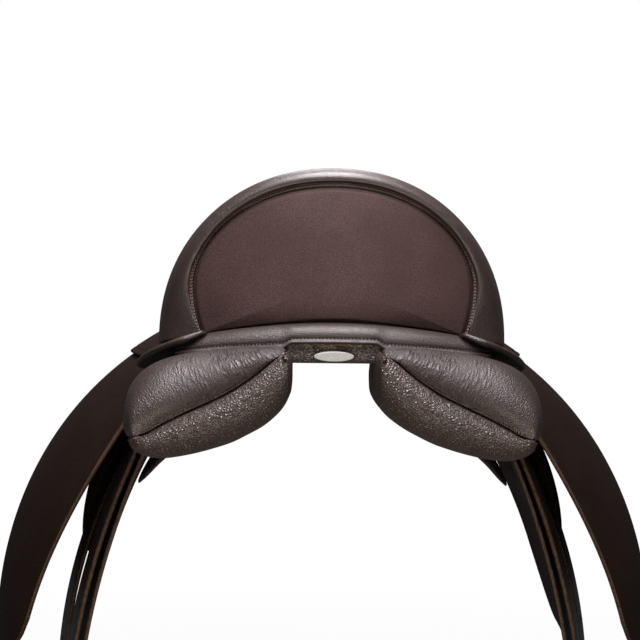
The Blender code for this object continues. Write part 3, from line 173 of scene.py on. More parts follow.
def shell(name, outer, inner, bulge, edge=None, extra=None, holes=(), holeRadius=0.0):
    # two grids joined round their border by a rounded rim, which has the second material;
    # each hole has its row and column
    rows, columns, _ = outer.shape
    border = np.concatenate([
        np.stack([np.zeros(columns, int), np.arange(columns)], 1),
        np.stack([np.arange(1, rows), np.full(rows - 1, columns - 1)], 1),
        np.stack([np.full(columns - 1, rows - 1), np.arange(columns - 2, -1, -1)], 1),
        np.stack([np.arange(rows - 2, 0, -1), np.zeros(rows - 2, int)], 1)])
    r, c = border[:, 0], border[:, 1]
    inside = np.clip(r, 1, rows - 2), np.clip(c, 1, columns - 2)
    middle = (outer[r, c] + inner[r, c]) / 2
    away = unit(outer[r, c] + inner[r, c] - outer[inside] - inner[inside])
    half = (outer[r, c] - inner[r, c]) / 2
    rings = [middle + half * math.cos(math.pi * turn) + away * bulge * math.sin(math.pi * turn)
             for turn in rimTurns]
    count = rows * columns
    points = np.concatenate([outer.reshape(-1, 3), inner.reshape(-1, 3), *rings])
    uvOne = gridUv(outer)
    uv = np.concatenate([uvOne.reshape(-1, 2)] * 2 + [uvOne[r, c]] * len(rimTurns))
    chains = [r * columns + c]
    chains += [2 * count + len(border) * k + np.arange(len(border)) for k in range(len(rimTurns))]
    chains.append(count + r * columns + c)
    strips = []
    for near, far in zip(chains[:-1], chains[1:]):
        strips.append(np.stack([near, far, np.roll(far, -1), np.roll(near, -1)], 1))
    faces = gridQuads(rows, columns)
    keep = np.ones(len(faces), bool)
    faceRow, faceColumn = faces[:, 0] // columns, faces[:, 0] % columns
    rings, walls, spots = [], [], []
    for row, column in holes:
        keep &= ~((np.abs(faceRow - row + 0.5) < holeReach) & (np.abs(faceColumn - column + 0.5) < holeReach))
        loop = holeLoop + (row, column)
        at = loop[:, 0] * columns + loop[:, 1]
        for shift, side in ((0, outer), (count, inner)):
            around = side[loop[:, 0], loop[:, 1]]
            ring = len(points) + len(rings) * len(loop) + np.arange(len(loop))
            rings.append(side[row, column] + unit(around - side[row, column]) * holeRadius)
            walls.append(np.stack([at + shift, ring, np.roll(ring, -1), np.roll(at + shift, -1)], 1))
            spots.append(uvOne[row, column])
        above = ring - len(loop)
        walls.append(np.stack([above, ring, np.roll(ring, -1), np.roll(above, -1)], 1))
    if rings:
        points = np.concatenate([points, *rings])
        uv = np.concatenate([uv, np.repeat(np.array(spots), len(holeLoop), axis=0)])
    quads = np.concatenate([faces[keep], faces[keep][:, ::-1] + count, *strips, *walls])
    flat = 2 * keep.sum()
    rims = np.concatenate([np.zeros(flat), np.ones(len(quads) - flat)])
    masks = {}
    for key, values in {"edge": edge, **(extra or {})}.items():
        if values is not None:
            values = np.broadcast_to(values, (rows, columns))
            masks[key] = np.concatenate([values.ravel()] * 2 + [values[r, c]] * len(rimTurns)
                                        + [np.zeros(len(holeLoop))] * len(rings))
    return meshFrom(name, points, quads, uv, masks, rims)


def sheetShell(name, middle, thickness, bulge=None, edge=None, extra=None):
    # a sheet as thick as said, half on each side of its middle grid
    normals = gridNormals(middle) * thickness / 2
    return shell(name, middle + normals, middle - normals, thickness * 0.42 if bulge is None else bulge,
                 edge, extra)


def loftMesh(name, rings, uv=None, masks=None, capStart=True, capEnd=True, weld=0.0, split=None):
    # closed rings joined in order; each end is closed on its middle point; faces where the
    # mask named by split is below zero take the second material
    rows, columns, _ = rings.shape
    points = [rings.reshape(-1, 3)]
    quads = [gridQuads(rows, columns, closed=True)]
    total = rows * columns
    ends = []
    for wanted, ring, base in ((capStart, rings[0], 0), (capEnd, rings[-1], total - columns)):
        if wanted:
            near = base + np.arange(columns)
            shrunk = ring.mean(axis=0) + (ring - ring.mean(axis=0)) * 1e-4
            points.append(shrunk)
            quads.append(np.stack([near, np.roll(near, -1), np.roll(np.arange(columns), -1) + total,
                                   np.arange(columns) + total], 1))
            ends.append(base)
            total += columns
    if uv is not None:
        flat = uv.reshape(-1, 2)
        uv = np.concatenate([flat] + [flat[b:b + columns] for b in ends])
    full = {}
    for key, values in (masks or {}).items():
        flat = np.broadcast_to(values, (rows, columns)).ravel()
        full[key] = np.concatenate([flat] + [flat[b:b + columns] for b in ends])
    quads = np.concatenate(quads)
    rims = (full[split][quads].mean(axis=1) < 0).astype(int) if split else None
    return meshFrom(name, np.concatenate(points), quads, uv, full, rims, max(weld, 2e-6))


def pathFrame(path, up, closed=False):
    # along the path, across it, and away from the surface it lies on
    if closed:
        ahead = unit(np.roll(path, -1, axis=0) - np.roll(path, 1, axis=0))
    else:
        ahead = unit(np.gradient(path, axis=0))
    across = unit(np.cross(ahead, up))
    return ahead, across, unit(np.cross(across, ahead))


def tubeMesh(name, path, up, radius, count, closed=False):
    # a ring of points carried along a path
    _, across, away = pathFrame(path, up, closed)
    turn = np.linspace(0, 2 * math.pi, count, endpoint=False)
    radius = np.broadcast_to(radius, len(path))[:, None, None]
    rings = path[:, None] + radius * (across[:, None] * np.cos(turn)[None, :, None]
                                      + away[:, None] * np.sin(turn)[None, :, None])
    if closed:
        rings = np.concatenate([rings, rings[:1]])
    length = walked(path)
    length = np.append(length, length[-1]) if closed else length
    uv = np.stack([np.broadcast_to(turn / 6.3, (len(rings), count)) * 0.01,
                   np.broadcast_to(length[:, None], (len(rings), count))], -1)
    return loftMesh(name, rings, uv, None, not closed, not closed, 1e-6 if not closed else 1e-5)


def evenly(path, pitch):
    # the path walked in even steps as near as can be to the pitch
    length = walked(path)
    steps = max(2, int(round(length[-1] / pitch)))
    where = np.linspace(0, length[-1], steps + 1)
    return np.stack([np.interp(where, length, path[:, k]) for k in range(path.shape[1])], -1)


# one stitch: places along it, how wide it is there, how many points go round it, how far its middle
# stands up, and the faces that close its two ends
stitchForm = dict(places=[-1.0, -0.72, 0.0, 0.72, 1.0], widths=[0.12, 0.75, 1.0, 0.75, 0.12], around=6, arch=0.5,
                  caps=[[0, 1, 2, 3], [0, 3, 4, 5], [24, 25, 26, 27], [24, 27, 28, 29]])


def stitches(name, path, up, values):
    # short thread lenses, one after the other along a path
    both = evenly(np.concatenate([path, np.broadcast_to(up, path.shape)], axis=1), values["pitch"])
    path, up = both[:, :3], unit(both[:, 3:])
    ahead, across, away = pathFrame(path, up)
    ring = np.linspace(0, 2 * math.pi, stitchForm["around"], endpoint=False)
    s, a = np.meshgrid(stitchForm["places"], ring, indexing="ij")
    w = np.broadcast_to(np.array(stitchForm["widths"])[:, None], s.shape)
    sway = values.get("slant", 0.0) * s
    radius = values["radius"]
    local = np.stack([s * values["length"] / 2, w * np.cos(a) * radius + sway * radius,
                      w * np.sin(a) * radius + (1 - s ** 2) * radius * stitchForm["arch"]], -1).reshape(-1, 3)
    frames = np.stack([ahead, across, away], axis=1)
    base = path + away * values.get("lift", 0.0)
    points = (base[:, None] + np.einsum("kj,njd->nkd", local, frames)).reshape(-1, 3)
    one = np.concatenate([gridQuads(*s.shape, closed=True), stitchForm["caps"]])
    quads = (one[None] + (np.arange(len(path)) * len(local))[:, None, None]).reshape(-1, 4)
    return meshFrom(name, points, quads)


# The CAD's own lines, so that each piece lies where its solid does

hingeRear = np.array([0.1350, -0.100, 0.1065])
hingeFront = np.array([0.0690, 0.175, 0.1490])


def hingePoint(y):
    t = (y - hingeRear[1]) / (hingeFront[1] - hingeRear[1])
    return tuple(hingeRear[k] + (hingeFront[k] - hingeRear[k]) * t for k in (0, 2))


def arcPoint(x, z, slope, endSlope, length, s, out):
    # an arc whose slope below the level grows evenly with s, moved out along its normal
    bend = (endSlope - slope) / length
    now = slope + bend * s
    return (x + (np.sin(now) - np.sin(slope)) / bend + out * np.sin(now),
            z + (np.cos(now) - np.cos(slope)) / bend + out * np.cos(now))


flapValues = dict(thickness=0.0045, length=0.405, topGap=0.004, endSlope=math.radians(88), corner=0.070,
                  slopes=[(-0.110, 52), (-0.085, 46), (-0.050, 34), (0.000, 22.5), (0.050, 15.5),
                          (0.100, 12.5), (0.180, 13), (0.260, 15)],
                  rearEdge=[(0.0, -0.0975), (0.12, -0.088), (0.28, -0.072), (0.42, -0.060)],
                  frontEdge=[(0.0, 0.172), (0.07, 0.205), (0.18, 0.232), (0.30, 0.212), (0.42, 0.170)])
sweatValues = dict(thickness=0.0035, length=0.375, inset=0.0050, drop=0.0155, endSlope=math.radians(85),
                   corner=0.060,
                   slopes=[(-0.110, 60), (-0.060, 56), (0.000, 47), (0.080, 40), (0.160, 36), (0.240, 36)],
                   rearEdge=[(0.0, -0.094), (0.15, -0.088), (0.38, -0.070)],
                   frontEdge=[(0.0, 0.150), (0.08, 0.205), (0.22, 0.205), (0.38, 0.165)])
notchValues = dict(centre=0.104, half=0.062, depth=0.046)


def flapPoint(s, y, out):
    x, z = hingePoint(y)
    slope = np.radians(smoothThrough(flapValues["slopes"], y))
    x, z = arcPoint(x, z, slope, flapValues["endSlope"], flapValues["length"], s, out)
    return stacked(x, y, z)


def sweatPoint(s, y, out):
    x, z = hingePoint(y)
    slope = np.radians(smoothThrough(sweatValues["slopes"], y))
    x, z = arcPoint(x - sweatValues["inset"], z - sweatValues["drop"], slope,
                    sweatValues["endSlope"], sweatValues["length"], s, out)
    return stacked(x, y, z)


def notch(y):
    q = np.clip(np.abs(y - notchValues["centre"]) / notchValues["half"], 0, 1)
    return notchValues["depth"] * np.sqrt(1 - q ** 4)


def roundedLength(full, corner, u):
    # how long a sheet hangs at u across it, shorter near its two rounded corners
    near = np.clip(np.minimum(u, 1 - u) / 0.22, 0, 1)
    return full - corner * (1 - np.sqrt(np.clip(1 - (1 - near) ** 2, 0, 1)))


facingValues = dict(half=0.1285, centreZ=0.154, rise=0.0895, drop=0.123, cornerX=0.1200, arch=0.0112,
                    backY=-0.2345, backRadius=0.245, crown=0.0062, thickness=0.006, seam=0.0006)


def cantleBack(x):
    return facingValues["backY"] + x * x / (2 * facingValues["backRadius"])


def facingLowerZ(x):
    f = facingValues
    corner = f["centreZ"] - f["drop"] * math.sqrt(1 - (f["cornerX"] / f["half"]) ** 2)
    return corner + f["arch"] * (1 - (x / f["cornerX"]) ** 2)


def facingEdge(a, inset=0.0):
    # an ellipse from the right corner, a 0, over the top to the left corner, a pi
    f = facingValues
    low = math.acos(f["cornerX"] / f["half"])
    turn = -low + a * (math.pi + 2 * low) / math.pi
    x = (f["half"] - inset) * np.cos(turn)
    reach = np.where(np.sin(turn) > 0, f["rise"], f["drop"])
    return stacked(x, cantleBack(x), f["centreZ"] + (reach - inset) * np.sin(turn))


seatValues = dict(
    middle=[(0.214, 0.168), (0.222, 0.193), (0.208, 0.213), (0.165, 0.203), (0.105, 0.167), (0.045, 0.141),
            (-0.020, 0.132), (-0.085, 0.143), (-0.140, 0.172), (-0.183, 0.213), (-0.207, 0.249),
            (-0.221, 0.2612), (-0.232, 0.2560), (-0.2345, 0.2465)],
    edge=[(0.056, 0.207, 0.153), (0.059, 0.209, 0.156), (0.061, 0.202, 0.158), (0.065, 0.165, 0.153),
          (0.074, 0.105, 0.141), (0.088, 0.045, 0.129), (0.107, -0.020, 0.117), (0.1285, -0.085, 0.108),
          (0.1480, -0.135, 0.1035), (0.1570, -0.155, 0.1015), (0.1595, -0.165, 0.1010),
          (0.1605, -0.173, 0.1015), (0.1500, -0.190, 0.1045), (0.1150, -0.2075, 0.1105)],
    archFront=0.80, archMiddle=0.55, archCantle=0.94, leather=0.0025, columns=128, cadColumns=20)
seatCount = len(seatValues["middle"])


def seatBody(t, a):
    # t from under the pommel to behind the cantle, a across from right to left
    v = seatValues
    place = t * (seatCount - 1)
    edge, middle = alongPoints(v["edge"], t), alongPoints(v["middle"], t)
    arch = smoothThrough([(0, v["archFront"]), (3, v["archMiddle"]), (7, v["archMiddle"]),
                          (11, v["archCantle"]), (13, v["archCantle"])], place)
    side = smoothThrough([(0, 1.0), (9, 1.0), (11, v["archCantle"]), (13, v["archCantle"])], place)
    deepPower = smoothThrough([(7, 1.0), (11, 1.5)], place)
    rise = np.clip(np.sin(a), 0, 1) ** arch
    x = edge[..., 0] * np.sign(np.cos(a)) * np.abs(np.cos(a)) ** side
    y = edge[..., 1] + (middle[..., 0] - edge[..., 1]) * rise ** deepPower
    z = edge[..., 2] + (middle[..., 1] - edge[..., 2]) * rise
    return stacked(x, y, z)


def seatRow(t, a):
    # past its last row but one the leather bends on from its own slope to the facing's edge
    t, a = np.broadcast_arrays(t, a)
    last, step = (seatCount - 2) / (seatCount - 1), 0.002
    end = seatBody(last + 0 * t, a)
    ahead = (end - seatBody(last - step + 0 * t, a)) / step * (0.35 / (seatCount - 1))
    share = np.clip(t * (seatCount - 1) - (seatCount - 2), 0, 1)[..., None]
    bent = end * (1 - share) ** 2 + (end + ahead) * 2 * share * (1 - share)
    bent = bent + facingEdge(a, -facingValues["seam"] / 2) * share ** 2
    return np.where(share > 0, bent, seatBody(t, a))


print("frame loaded:", len(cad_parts), "solids")


# Finishes: groups that give masks and heights, then one leather, and the rest

def feed(tree, made, links):
    # each named input is linked to a socket or filled with a value
    for key, value in links.items():
        if isinstance(value, bpy.types.NodeSocket):
            tree.links.new(value, made.inputs[key])
        else:
            made.inputs[key].default_value = value


def node(tree, kind, links=None, **settings):
    made = tree.nodes.new("ShaderNode" + kind)
    for key, value in settings.items():
        setattr(made, key, value)
    feed(tree, made, links or {})
    return made


def maths(tree, operation, *values):
    return node(tree, "Math", dict(enumerate(values)), operation=operation).outputs[0]


def ranged(tree, value, low, high, toLow=0.0, toHigh=1.0):
    return node(tree, "MapRange", {"Value": value, "From Min": low, "From Max": high, "To Min": toLow,
                                   "To Max": toHigh}, interpolation_type="SMOOTHSTEP").outputs["Result"]


def mixed(tree, factor, one, two):
    # inputs 6 and 7 and output 2 are the Mix node's colours
    one, two = (c if isinstance(c, bpy.types.NodeSocket) else (*c, 1.0) for c in (one, two))
    return node(tree, "Mix", {0: factor, 6: one, 7: two}, data_type="RGBA").outputs[2]


def bumped(tree, height, distance, **more):
    return node(tree, "Bump", {"Height": height, "Distance": distance, **more}).outputs[0]


def noise(tree, vector, scale, detail=2.0, distortion=0.0):
    return node(tree, "TexNoise", {"Vector": vector, "Scale": scale, "Detail": detail, "Distortion": distortion})


def objectNoise(tree, scale, detail=2.0, stretch=None, distortion=0.0):
    # noise on Object coordinates, drawn out where each way has a rate of its own
    vector = node(tree, "TexCoord").outputs["Object"]
    if stretch:
        vector = node(tree, "Mapping", {"Vector": vector, "Scale": stretch}).outputs[0]
    return noise(tree, vector, scale, detail, distortion).outputs["Fac"]


def attribute(tree, name):
    return node(tree, "Attribute", attribute_name=name).outputs["Fac"]


def tinted(colour, share):
    return tuple(c * share for c in colour)


def newGroup(name, inputs, outputs):
    # an input given as None is a vector, any other a float with that value; the outputs are floats
    tree = bpy.data.node_groups.new(name, "ShaderNodeTree")
    for label, value in inputs.items():
        kind = "NodeSocketVector" if value is None else "NodeSocketFloat"
        socket = tree.interface.new_socket(label, in_out="INPUT", socket_type=kind)
        if value is not None:
            socket.default_value = value
    for label in outputs:
        tree.interface.new_socket(label, in_out="OUTPUT", socket_type="NodeSocketFloat")
    return tree, tree.nodes.new("NodeGroupInput").outputs, tree.nodes.new("NodeGroupOutput")


def movedAbout(tree, vector, scale, detail, reach):
    # the vector plus centred noise, as far as reach
    colour = noise(tree, vector, scale, detail).outputs["Color"]
    centred = node(tree, "VectorMath", {0: colour, 1: (0.5, 0.5, 0.5)}, operation="SUBTRACT")
    scaled = node(tree, "VectorMath", {0: centred.outputs[0], "Scale": reach}, operation="SCALE")
    return node(tree, "VectorMath", {0: vector, 1: scaled.outputs[0]}, operation="ADD").outputs[0]


def makeGrainGroup():
    # pebbles: flat cells between creases, their lines bent by noise; plus fine pores on top
    tree, into, out = newGroup("leatherGrain", {"Vector": None, "Cells": 450.0, "Crease": 0.30, "Warp": 0.9,
                                                "Pores": 0.07}, ["Height", "Cavity", "Mottle"])
    vector, rate = into["Vector"], into["Cells"]
    moved = movedAbout(tree, vector, maths(tree, "MULTIPLY", rate, 0.55), 1.0,
                       maths(tree, "DIVIDE", into["Warp"], rate))
    cells = node(tree, "TexVoronoi", {"Vector": moved, "Scale": rate}, feature="DISTANCE_TO_EDGE")
    dome = ranged(tree, cells.outputs["Distance"], 0.0, into["Crease"])
    fine = noise(tree, vector, maths(tree, "MULTIPLY", rate, 4.0)).outputs["Fac"]
    feed(tree, out, {"Height": maths(tree, "ADD", dome, maths(tree, "MULTIPLY", fine, into["Pores"])),
                     "Cavity": maths(tree, "SUBTRACT", 1.0, dome),
                     "Mottle": noise(tree, vector, 22.0, 3.0).outputs["Fac"]})
    return tree


def makeCreaseGroup():
    # pulled grain: cells drawn out along one way of the piece's own map, between narrow creases,
    # stronger and weaker in patches
    tree, into, out = newGroup("pulledCreases", {"Map": None, "Along": 300.0, "Across": 45.0}, ["Height"])
    pair = node(tree, "CombineXYZ", {"X": into["Along"], "Y": into["Across"], "Z": 0.0}).outputs[0]
    scaled = node(tree, "VectorMath", {0: into["Map"], 1: pair}, operation="MULTIPLY").outputs[0]
    moved = movedAbout(tree, scaled, 0.45, 2.0, 1.9)
    cells = node(tree, "TexVoronoi", {"Vector": moved, "Scale": 1.0}, feature="DISTANCE_TO_EDGE",
                 voronoi_dimensions="2D")
    strength = ranged(tree, noise(tree, scaled, 0.16, 1.0).outputs["Fac"], 0.32, 0.62, 0.35, 1.0)
    feed(tree, out, {"Height": maths(tree, "MULTIPLY", ranged(tree, cells.outputs["Distance"], 0.0, 0.42),
                                     strength)})
    return tree


def makeWearAndSheenGroup():
    # pale edges, strong at the border, broken up by noise: rubbed wear on most pieces, a painted highlight on
    # the panel's lower hide and on the strip's top
    tree, into, out = newGroup("rubbedAndLitEdge", {"Vector": None, "Distance": 1.0, "Reach": 0.004}, ["Mask"])
    patch = ranged(tree, noise(tree, into["Vector"], 90.0, 3.0).outputs["Fac"], 0.3, 0.7, 0.4, 1.5)
    share = maths(tree, "DIVIDE", into["Distance"], maths(tree, "MULTIPLY", into["Reach"], patch))
    feed(tree, out, {"Mask": ranged(tree, share, 0.0, 1.0, 1.0, 0.0)})
    return tree


grainGroup, creaseGroup, wearAndSheenGroup = makeGrainGroup(), makeCreaseGroup(), makeWearAndSheenGroup()


def blank(name):
    material = bpy.data.materials.new(name)
    material.use_nodes = True
    tree = material.node_tree
    tree.nodes.clear()
    shader = tree.nodes.new("ShaderNodeBsdfPrincipled")
    tree.links.new(shader.outputs[0], tree.nodes.new("ShaderNodeOutputMaterial").inputs[0])
    return material, tree, shader


def leather(name, colour, cells=430.0, depth=0.00020, crease=0.30, pores=0.07, rough=(0.40, 0.58), gloss=0.45,
            coat=0.0, creases=0.0, creaseMap=(300.0, 45.0), dark=0.45, wearAndSheen=0.35, wornAndLit=1.9, paleColour=None,
            waves=0.0, roughShadedChannel=False):
    # dyed leather: grain in its bump, colour and roughness, with painted shade in the grain's cavities; folds,
    # with painted shade in their creases; paler edges, rubbed wear on most pieces and a painted highlight on
    # some; and painted shade in a sunk channel
    material, tree, shader = blank(name)
    place = node(tree, "TexCoord").outputs["Object"]
    grain = node(tree, "Group", {"Vector": place, "Cells": cells, "Crease": crease, "Pores": pores},
                 node_tree=grainGroup).outputs
    rubAndSheen = node(tree, "Group", {"Vector": place, "Distance": attribute(tree, "edge")}, node_tree=wearAndSheenGroup)
    # deep is painted shade: the colour darkened by dark, mixed into the grain's cavities here and into the fold
    # creases below
    deep = tinted(colour, dark)
    toned = mixed(tree, ranged(tree, grain["Mottle"], 0.3, 0.7), tinted(colour, 0.86), tinted(colour, 1.14))
    toned = mixed(tree, maths(tree, "MULTIPLY", grain["Cavity"], 0.75), toned, deep)
    # paler edges: rubbed wear on most pieces; on the lower panel hide and the strip's top, a painted highlight
    rubAndSheen = maths(tree, "MULTIPLY", rubAndSheen.outputs["Mask"], wearAndSheen)
    toned = mixed(tree, rubAndSheen, toned, paleColour or tinted(colour, wornAndLit))
    varied = maths(tree, "ADD", maths(tree, "MULTIPLY", grain["Cavity"], 0.6),
                   maths(tree, "MULTIPLY", grain["Mottle"], 0.4))
    spread = ranged(tree, varied, 0.1, 0.8, *rough)
    normal = bumped(tree, grain["Height"], depth)
    if roughShadedChannel:
        sunk = attribute(tree, "sunk")
        spread = maths(tree, "MAXIMUM", spread, maths(tree, "MULTIPLY", sunk, 0.95))
    if creases:
        along, across = creaseMap
        folds = node(tree, "Group", {"Map": node(tree, "UVMap", uv_map="UVMap").outputs[0], "Along": along,
                                     "Across": across}, node_tree=creaseGroup)
        pull = attribute(tree, "fold")
        height = maths(tree, "MULTIPLY", folds.outputs["Height"], pull)
        # the crease hollows take the painted shade deep, and are rougher
        hollow = maths(tree, "SUBTRACT", pull, height)
        toned = mixed(tree, maths(tree, "MULTIPLY", hollow, 0.8), toned, deep)
        spread = maths(tree, "ADD", spread, maths(tree, "MULTIPLY", hollow, 0.35))
        normal = bumped(tree, height, creases, Normal=normal)
    # painted shade: where the sunk mask is 1, in the channel round the facing, the colour is darkened to a tenth
    if roughShadedChannel:
        toned = mixed(tree, sunk, toned, tinted(colour, 0.10))
    if waves:
        normal = bumped(tree, noise(tree, place, 14.0).outputs["Fac"], waves, Normal=normal)
    feed(tree, shader, {"Base Color": toned, "Roughness": spread, "Normal": normal, "Specular IOR Level": gloss,
                        "Coat Weight": coat, "Coat Roughness": 0.25})
    return material


def patterned(name, colour, pattern, tones, rough, bump, toneSpan=(0.3, 0.7), roughSpan=(0.3, 0.7), felt=None,
              **plain):
    # one pattern leads the colour between its tones, and the roughness; it, or what is felt, is the bump
    material, tree, shader = blank(name)
    height = pattern(tree)
    factor = ranged(tree, height, *toneSpan) if toneSpan else height
    feed(tree, shader, {"Base Color": mixed(tree, factor, *(tinted(colour, tone) for tone in tones)),
                        "Roughness": ranged(tree, height, *roughSpan, *rough),
                        "Normal": bumped(tree, felt(tree) if felt else height, bump),
                        **{key.replace("_", " "): value for key, value in plain.items()}})
    return material


def cutEdge(name, colour):
    # the cut side of leather: burnished, with layers running along it
    return patterned(name, colour, lambda tree: objectNoise(tree, 260.0, 3.0), (0.6, 1.3), (0.35, 0.6), 0.00012,
                     Specular_IOR_Level=0.25)


def thread(name, colour):
    # waxed linen: fine twist across the stitch
    return patterned(name, colour, lambda tree: objectNoise(tree, 2600.0, 1.0), (0.6, 1.5), (0.45, 0.75), 0.0001,
                     toneSpan=None, Specular_IOR_Level=0.20)


def metal(name, colour, rough=(0.16, 0.34), scratch=0.00002, metallic=1.0):
    # worn, hand-polished steel: drawn-out scratches and duller patches
    return patterned(name, colour, lambda tree: objectNoise(tree, 130.0, 4.0), (1.0, 0.72), rough, scratch,
                     toneSpan=(0.35, 0.7), felt=lambda tree: objectNoise(tree, 1.0, 2.0, (900.0, 60.0, 900.0)),
                     Metallic=metallic)


def wood(name, colour):
    # laminated beech: long grain along the saddle, with pores
    return patterned(name, colour, lambda tree: objectNoise(tree, 1.0, 5.0, (160.0, 12.0, 420.0), 1.2),
                     (0.55, 1.0), (0.45, 0.7), 0.0002, toneSpan=(0.35, 0.65))


def weave(tree, pitch=0.0016):
    # plain weave on the piece's own map: warp and weft humps that pass over each other in turn
    rate = (1 / pitch, 1 / pitch, 1.0)
    scaled = node(tree, "Mapping", {"Vector": node(tree, "UVMap", uv_map="UVMap").outputs[0], "Scale": rate})
    parts = node(tree, "SeparateXYZ", {"Vector": scaled.outputs[0]}).outputs
    both = maths(tree, "MULTIPLY", maths(tree, "ADD", parts["X"], parts["Y"]), math.pi)
    humps = []
    for axis, low, high in (("X", -1.0, 1.0), ("Y", 1.0, -1.0)):
        hump = maths(tree, "ABSOLUTE", maths(tree, "SINE", maths(tree, "MULTIPLY", parts[axis], math.pi)))
        humps.append(maths(tree, "MULTIPLY", hump, ranged(tree, maths(tree, "SINE", both), low, high)))
    fibre = maths(tree, "MULTIPLY", objectNoise(tree, 900.0), 0.3)
    return maths(tree, "ADD", maths(tree, "MAXIMUM", *humps), fibre)


def webbing(name, colour):
    return patterned(name, colour, weave, (0.45, 1.0), (0.95, 0.75), 0.0003, toneSpan=(0.1, 1.0),
                     roughSpan=(0.0, 1.2))


def foamPores(tree):
    place = node(tree, "TexCoord").outputs["Object"]
    return node(tree, "TexVoronoi", {"Vector": place, "Scale": 1100.0}).outputs["Distance"]


def foamLook(name, colour):
    return patterned(name, colour, foamPores, (0.6, 1.0), (0.95, 0.8), 0.0003, toneSpan=(0.1, 0.6),
                     roughSpan=(0.0, 0.6))


def enamel(name, colour):
    # pearly enamel under a clear coat, with a faint cloud in it
    return patterned(name, colour, lambda tree: objectNoise(tree, 240.0), (0.86, 1.0), (0.22, 0.34), 0.00003,
                     toneSpan=None, Coat_Weight=0.6, Coat_Roughness=0.06)


brown = (0.044, 0.0255, 0.0220)
darkBrown = (0.034, 0.0205, 0.0172)
looks = dict(
    seat=leather("seatHide", brown, cells=620, depth=0.00012, rough=(0.32, 0.44), gloss=0.95, coat=0.30,
                 creases=0.00040, creaseMap=(420.0, 60.0), wearAndSheen=0.10, roughShadedChannel=True),
    # the facing's colour is made paler than its leather's own: painted light, in place of light falling on it
    # from behind the saddle
    facing=leather("facingHide", (0.086, 0.0515, 0.0470), cells=700, depth=0.00014, crease=0.35,
                   rough=(0.52, 0.68), gloss=0.16, wearAndSheen=0.0, waves=0.0009),
    band=leather("bandHide", (0.058, 0.0375, 0.0360), cells=640, depth=0.00014, rough=(0.36, 0.48), gloss=0.78,
                 wearAndSheen=0.1, waves=0.0006),
    bandEdge=leather("bandEdgeHide", (0.048, 0.031, 0.028), cells=640, depth=0.00005, gloss=0.25, wearAndSheen=0.0),
    # the strip's paler top edge is a painted highlight
    strip=leather("stripHide", (0.084, 0.060, 0.048), cells=340, depth=0.00100, crease=0.44, rough=(0.30, 0.46),
                  gloss=0.95, dark=0.25, wearAndSheen=0.8, wornAndLit=3.4, pores=0.008),
    panelTop=leather("panelUpperHide", (0.038, 0.0220, 0.0195), cells=440, depth=0.00014, rough=(0.32, 0.45),
                     gloss=0.90, creases=0.00070, creaseMap=(300.0, 80.0), pores=0.03, wearAndSheen=0.0, waves=0.0008),
    # the lower panel hide is a grained hide of its own; its colour is also made paler to stand in for light from
    # below, painted light, and its pale band under the seam is a painted highlight
    panelLow=leather("panelLowerHide", (0.072, 0.0430, 0.0330), cells=380, depth=0.00075, crease=0.46,
                     rough=(0.30, 0.48), gloss=0.95, wearAndSheen=0.55, wornAndLit=2.2, dark=0.22, pores=0.008),
    roll=leather("rollHide", darkBrown, cells=700, depth=0.00012, rough=(0.22, 0.36), gloss=0.60, wearAndSheen=0.75,
                 paleColour=(0.092, 0.060, 0.038), creases=0.0003, creaseMap=(500.0, 60.0)),
    # the flap's colour is made darker than its leather's own: painted shade, where the flap turns away from the
    # light
    flap=leather("flapHide", (0.018, 0.0095, 0.0072), cells=560, depth=0.00010, rough=(0.42, 0.56), gloss=0.12,
                 wearAndSheen=0.3),
    skirt=leather("skirtHide", (0.018, 0.0095, 0.0072), cells=560, depth=0.00010, rough=(0.40, 0.54),
                  gloss=0.12, wearAndSheen=0.2),
    sweat=leather("sweatHide", darkBrown, cells=520, depth=0.00012, rough=(0.46, 0.62), gloss=0.16),
    block=leather("blockHide", (0.036, 0.0220, 0.0170), cells=460, depth=0.00022, rough=(0.40, 0.58), gloss=0.2),
    strap=leather("strapHide", (0.024, 0.0150, 0.0125), cells=640, depth=0.00008, rough=(0.22, 0.36),
                  gloss=0.45, wearAndSheen=0.4),
    pocket=leather("pocketHide", darkBrown, cells=520, depth=0.00012, gloss=0.2),
    burnished=cutEdge("burnishedEdge", (0.052, 0.030, 0.019)),
    darkEdge=cutEdge("inkedEdge", (0.016, 0.010, 0.0085)),
    thread=thread("darkThread", (0.006, 0.004, 0.0035)),
    paleThread=thread("brownThread", (0.170, 0.104, 0.088)),
    steel=metal("polishedSteel", (0.62, 0.62, 0.63)),
    forged=metal("forgedSteel", (0.46, 0.46, 0.47), rough=(0.28, 0.5), scratch=0.00005),
    blackSteel=metal("japannedSteel", (0.020, 0.020, 0.022), rough=(0.35, 0.55), metallic=0.3),
    wood=wood("sealedBeech", (0.105, 0.060, 0.034)),
    web=webbing("strainingWeb", (0.36, 0.31, 0.24)),
    darkWeb=webbing("girthWeb", (0.055, 0.045, 0.038)),
    foam=foamLook("seatFoam", (0.55, 0.49, 0.36)),
    enamel=enamel("paleEnamel", (0.50, 0.51, 0.49)),
)
print("finishes made:", len(looks))


def dress(piece, body, nodes, slot, *materials, pad=None):
    # gives a piece its finish and its body, and hides the solids that it stands for
    for material in materials:
        piece.data.materials.append(material)
    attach(piece, body)
    if nodes:
        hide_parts(*nodes)
    return piece


def sewn(name, path, up, values, slot="brown_leather", look="thread"):
    # a row of stitches in its thread; it stands for no solid
    dress(stitches(name, path, up, values), "saddle", [], slot, looks[look])


def read(items, name, width=1):
    values = np.empty(len(items) * width)
    items.foreach_get(name, values)
    return values.reshape(-1, width) if width > 1 else values


def kdTree(points):
    tree = KDTree(len(points))
    for i, p in enumerate(points):
        tree.insert(p, i)
    tree.balance()
    return tree


clothLook = dict(voxel=0.005, pressure=4.0, frames=20, quality=6, mass=0.3, stiffness=20.0, near=0.003,
                 far=0.012, fade=0.10, neighbours=6)


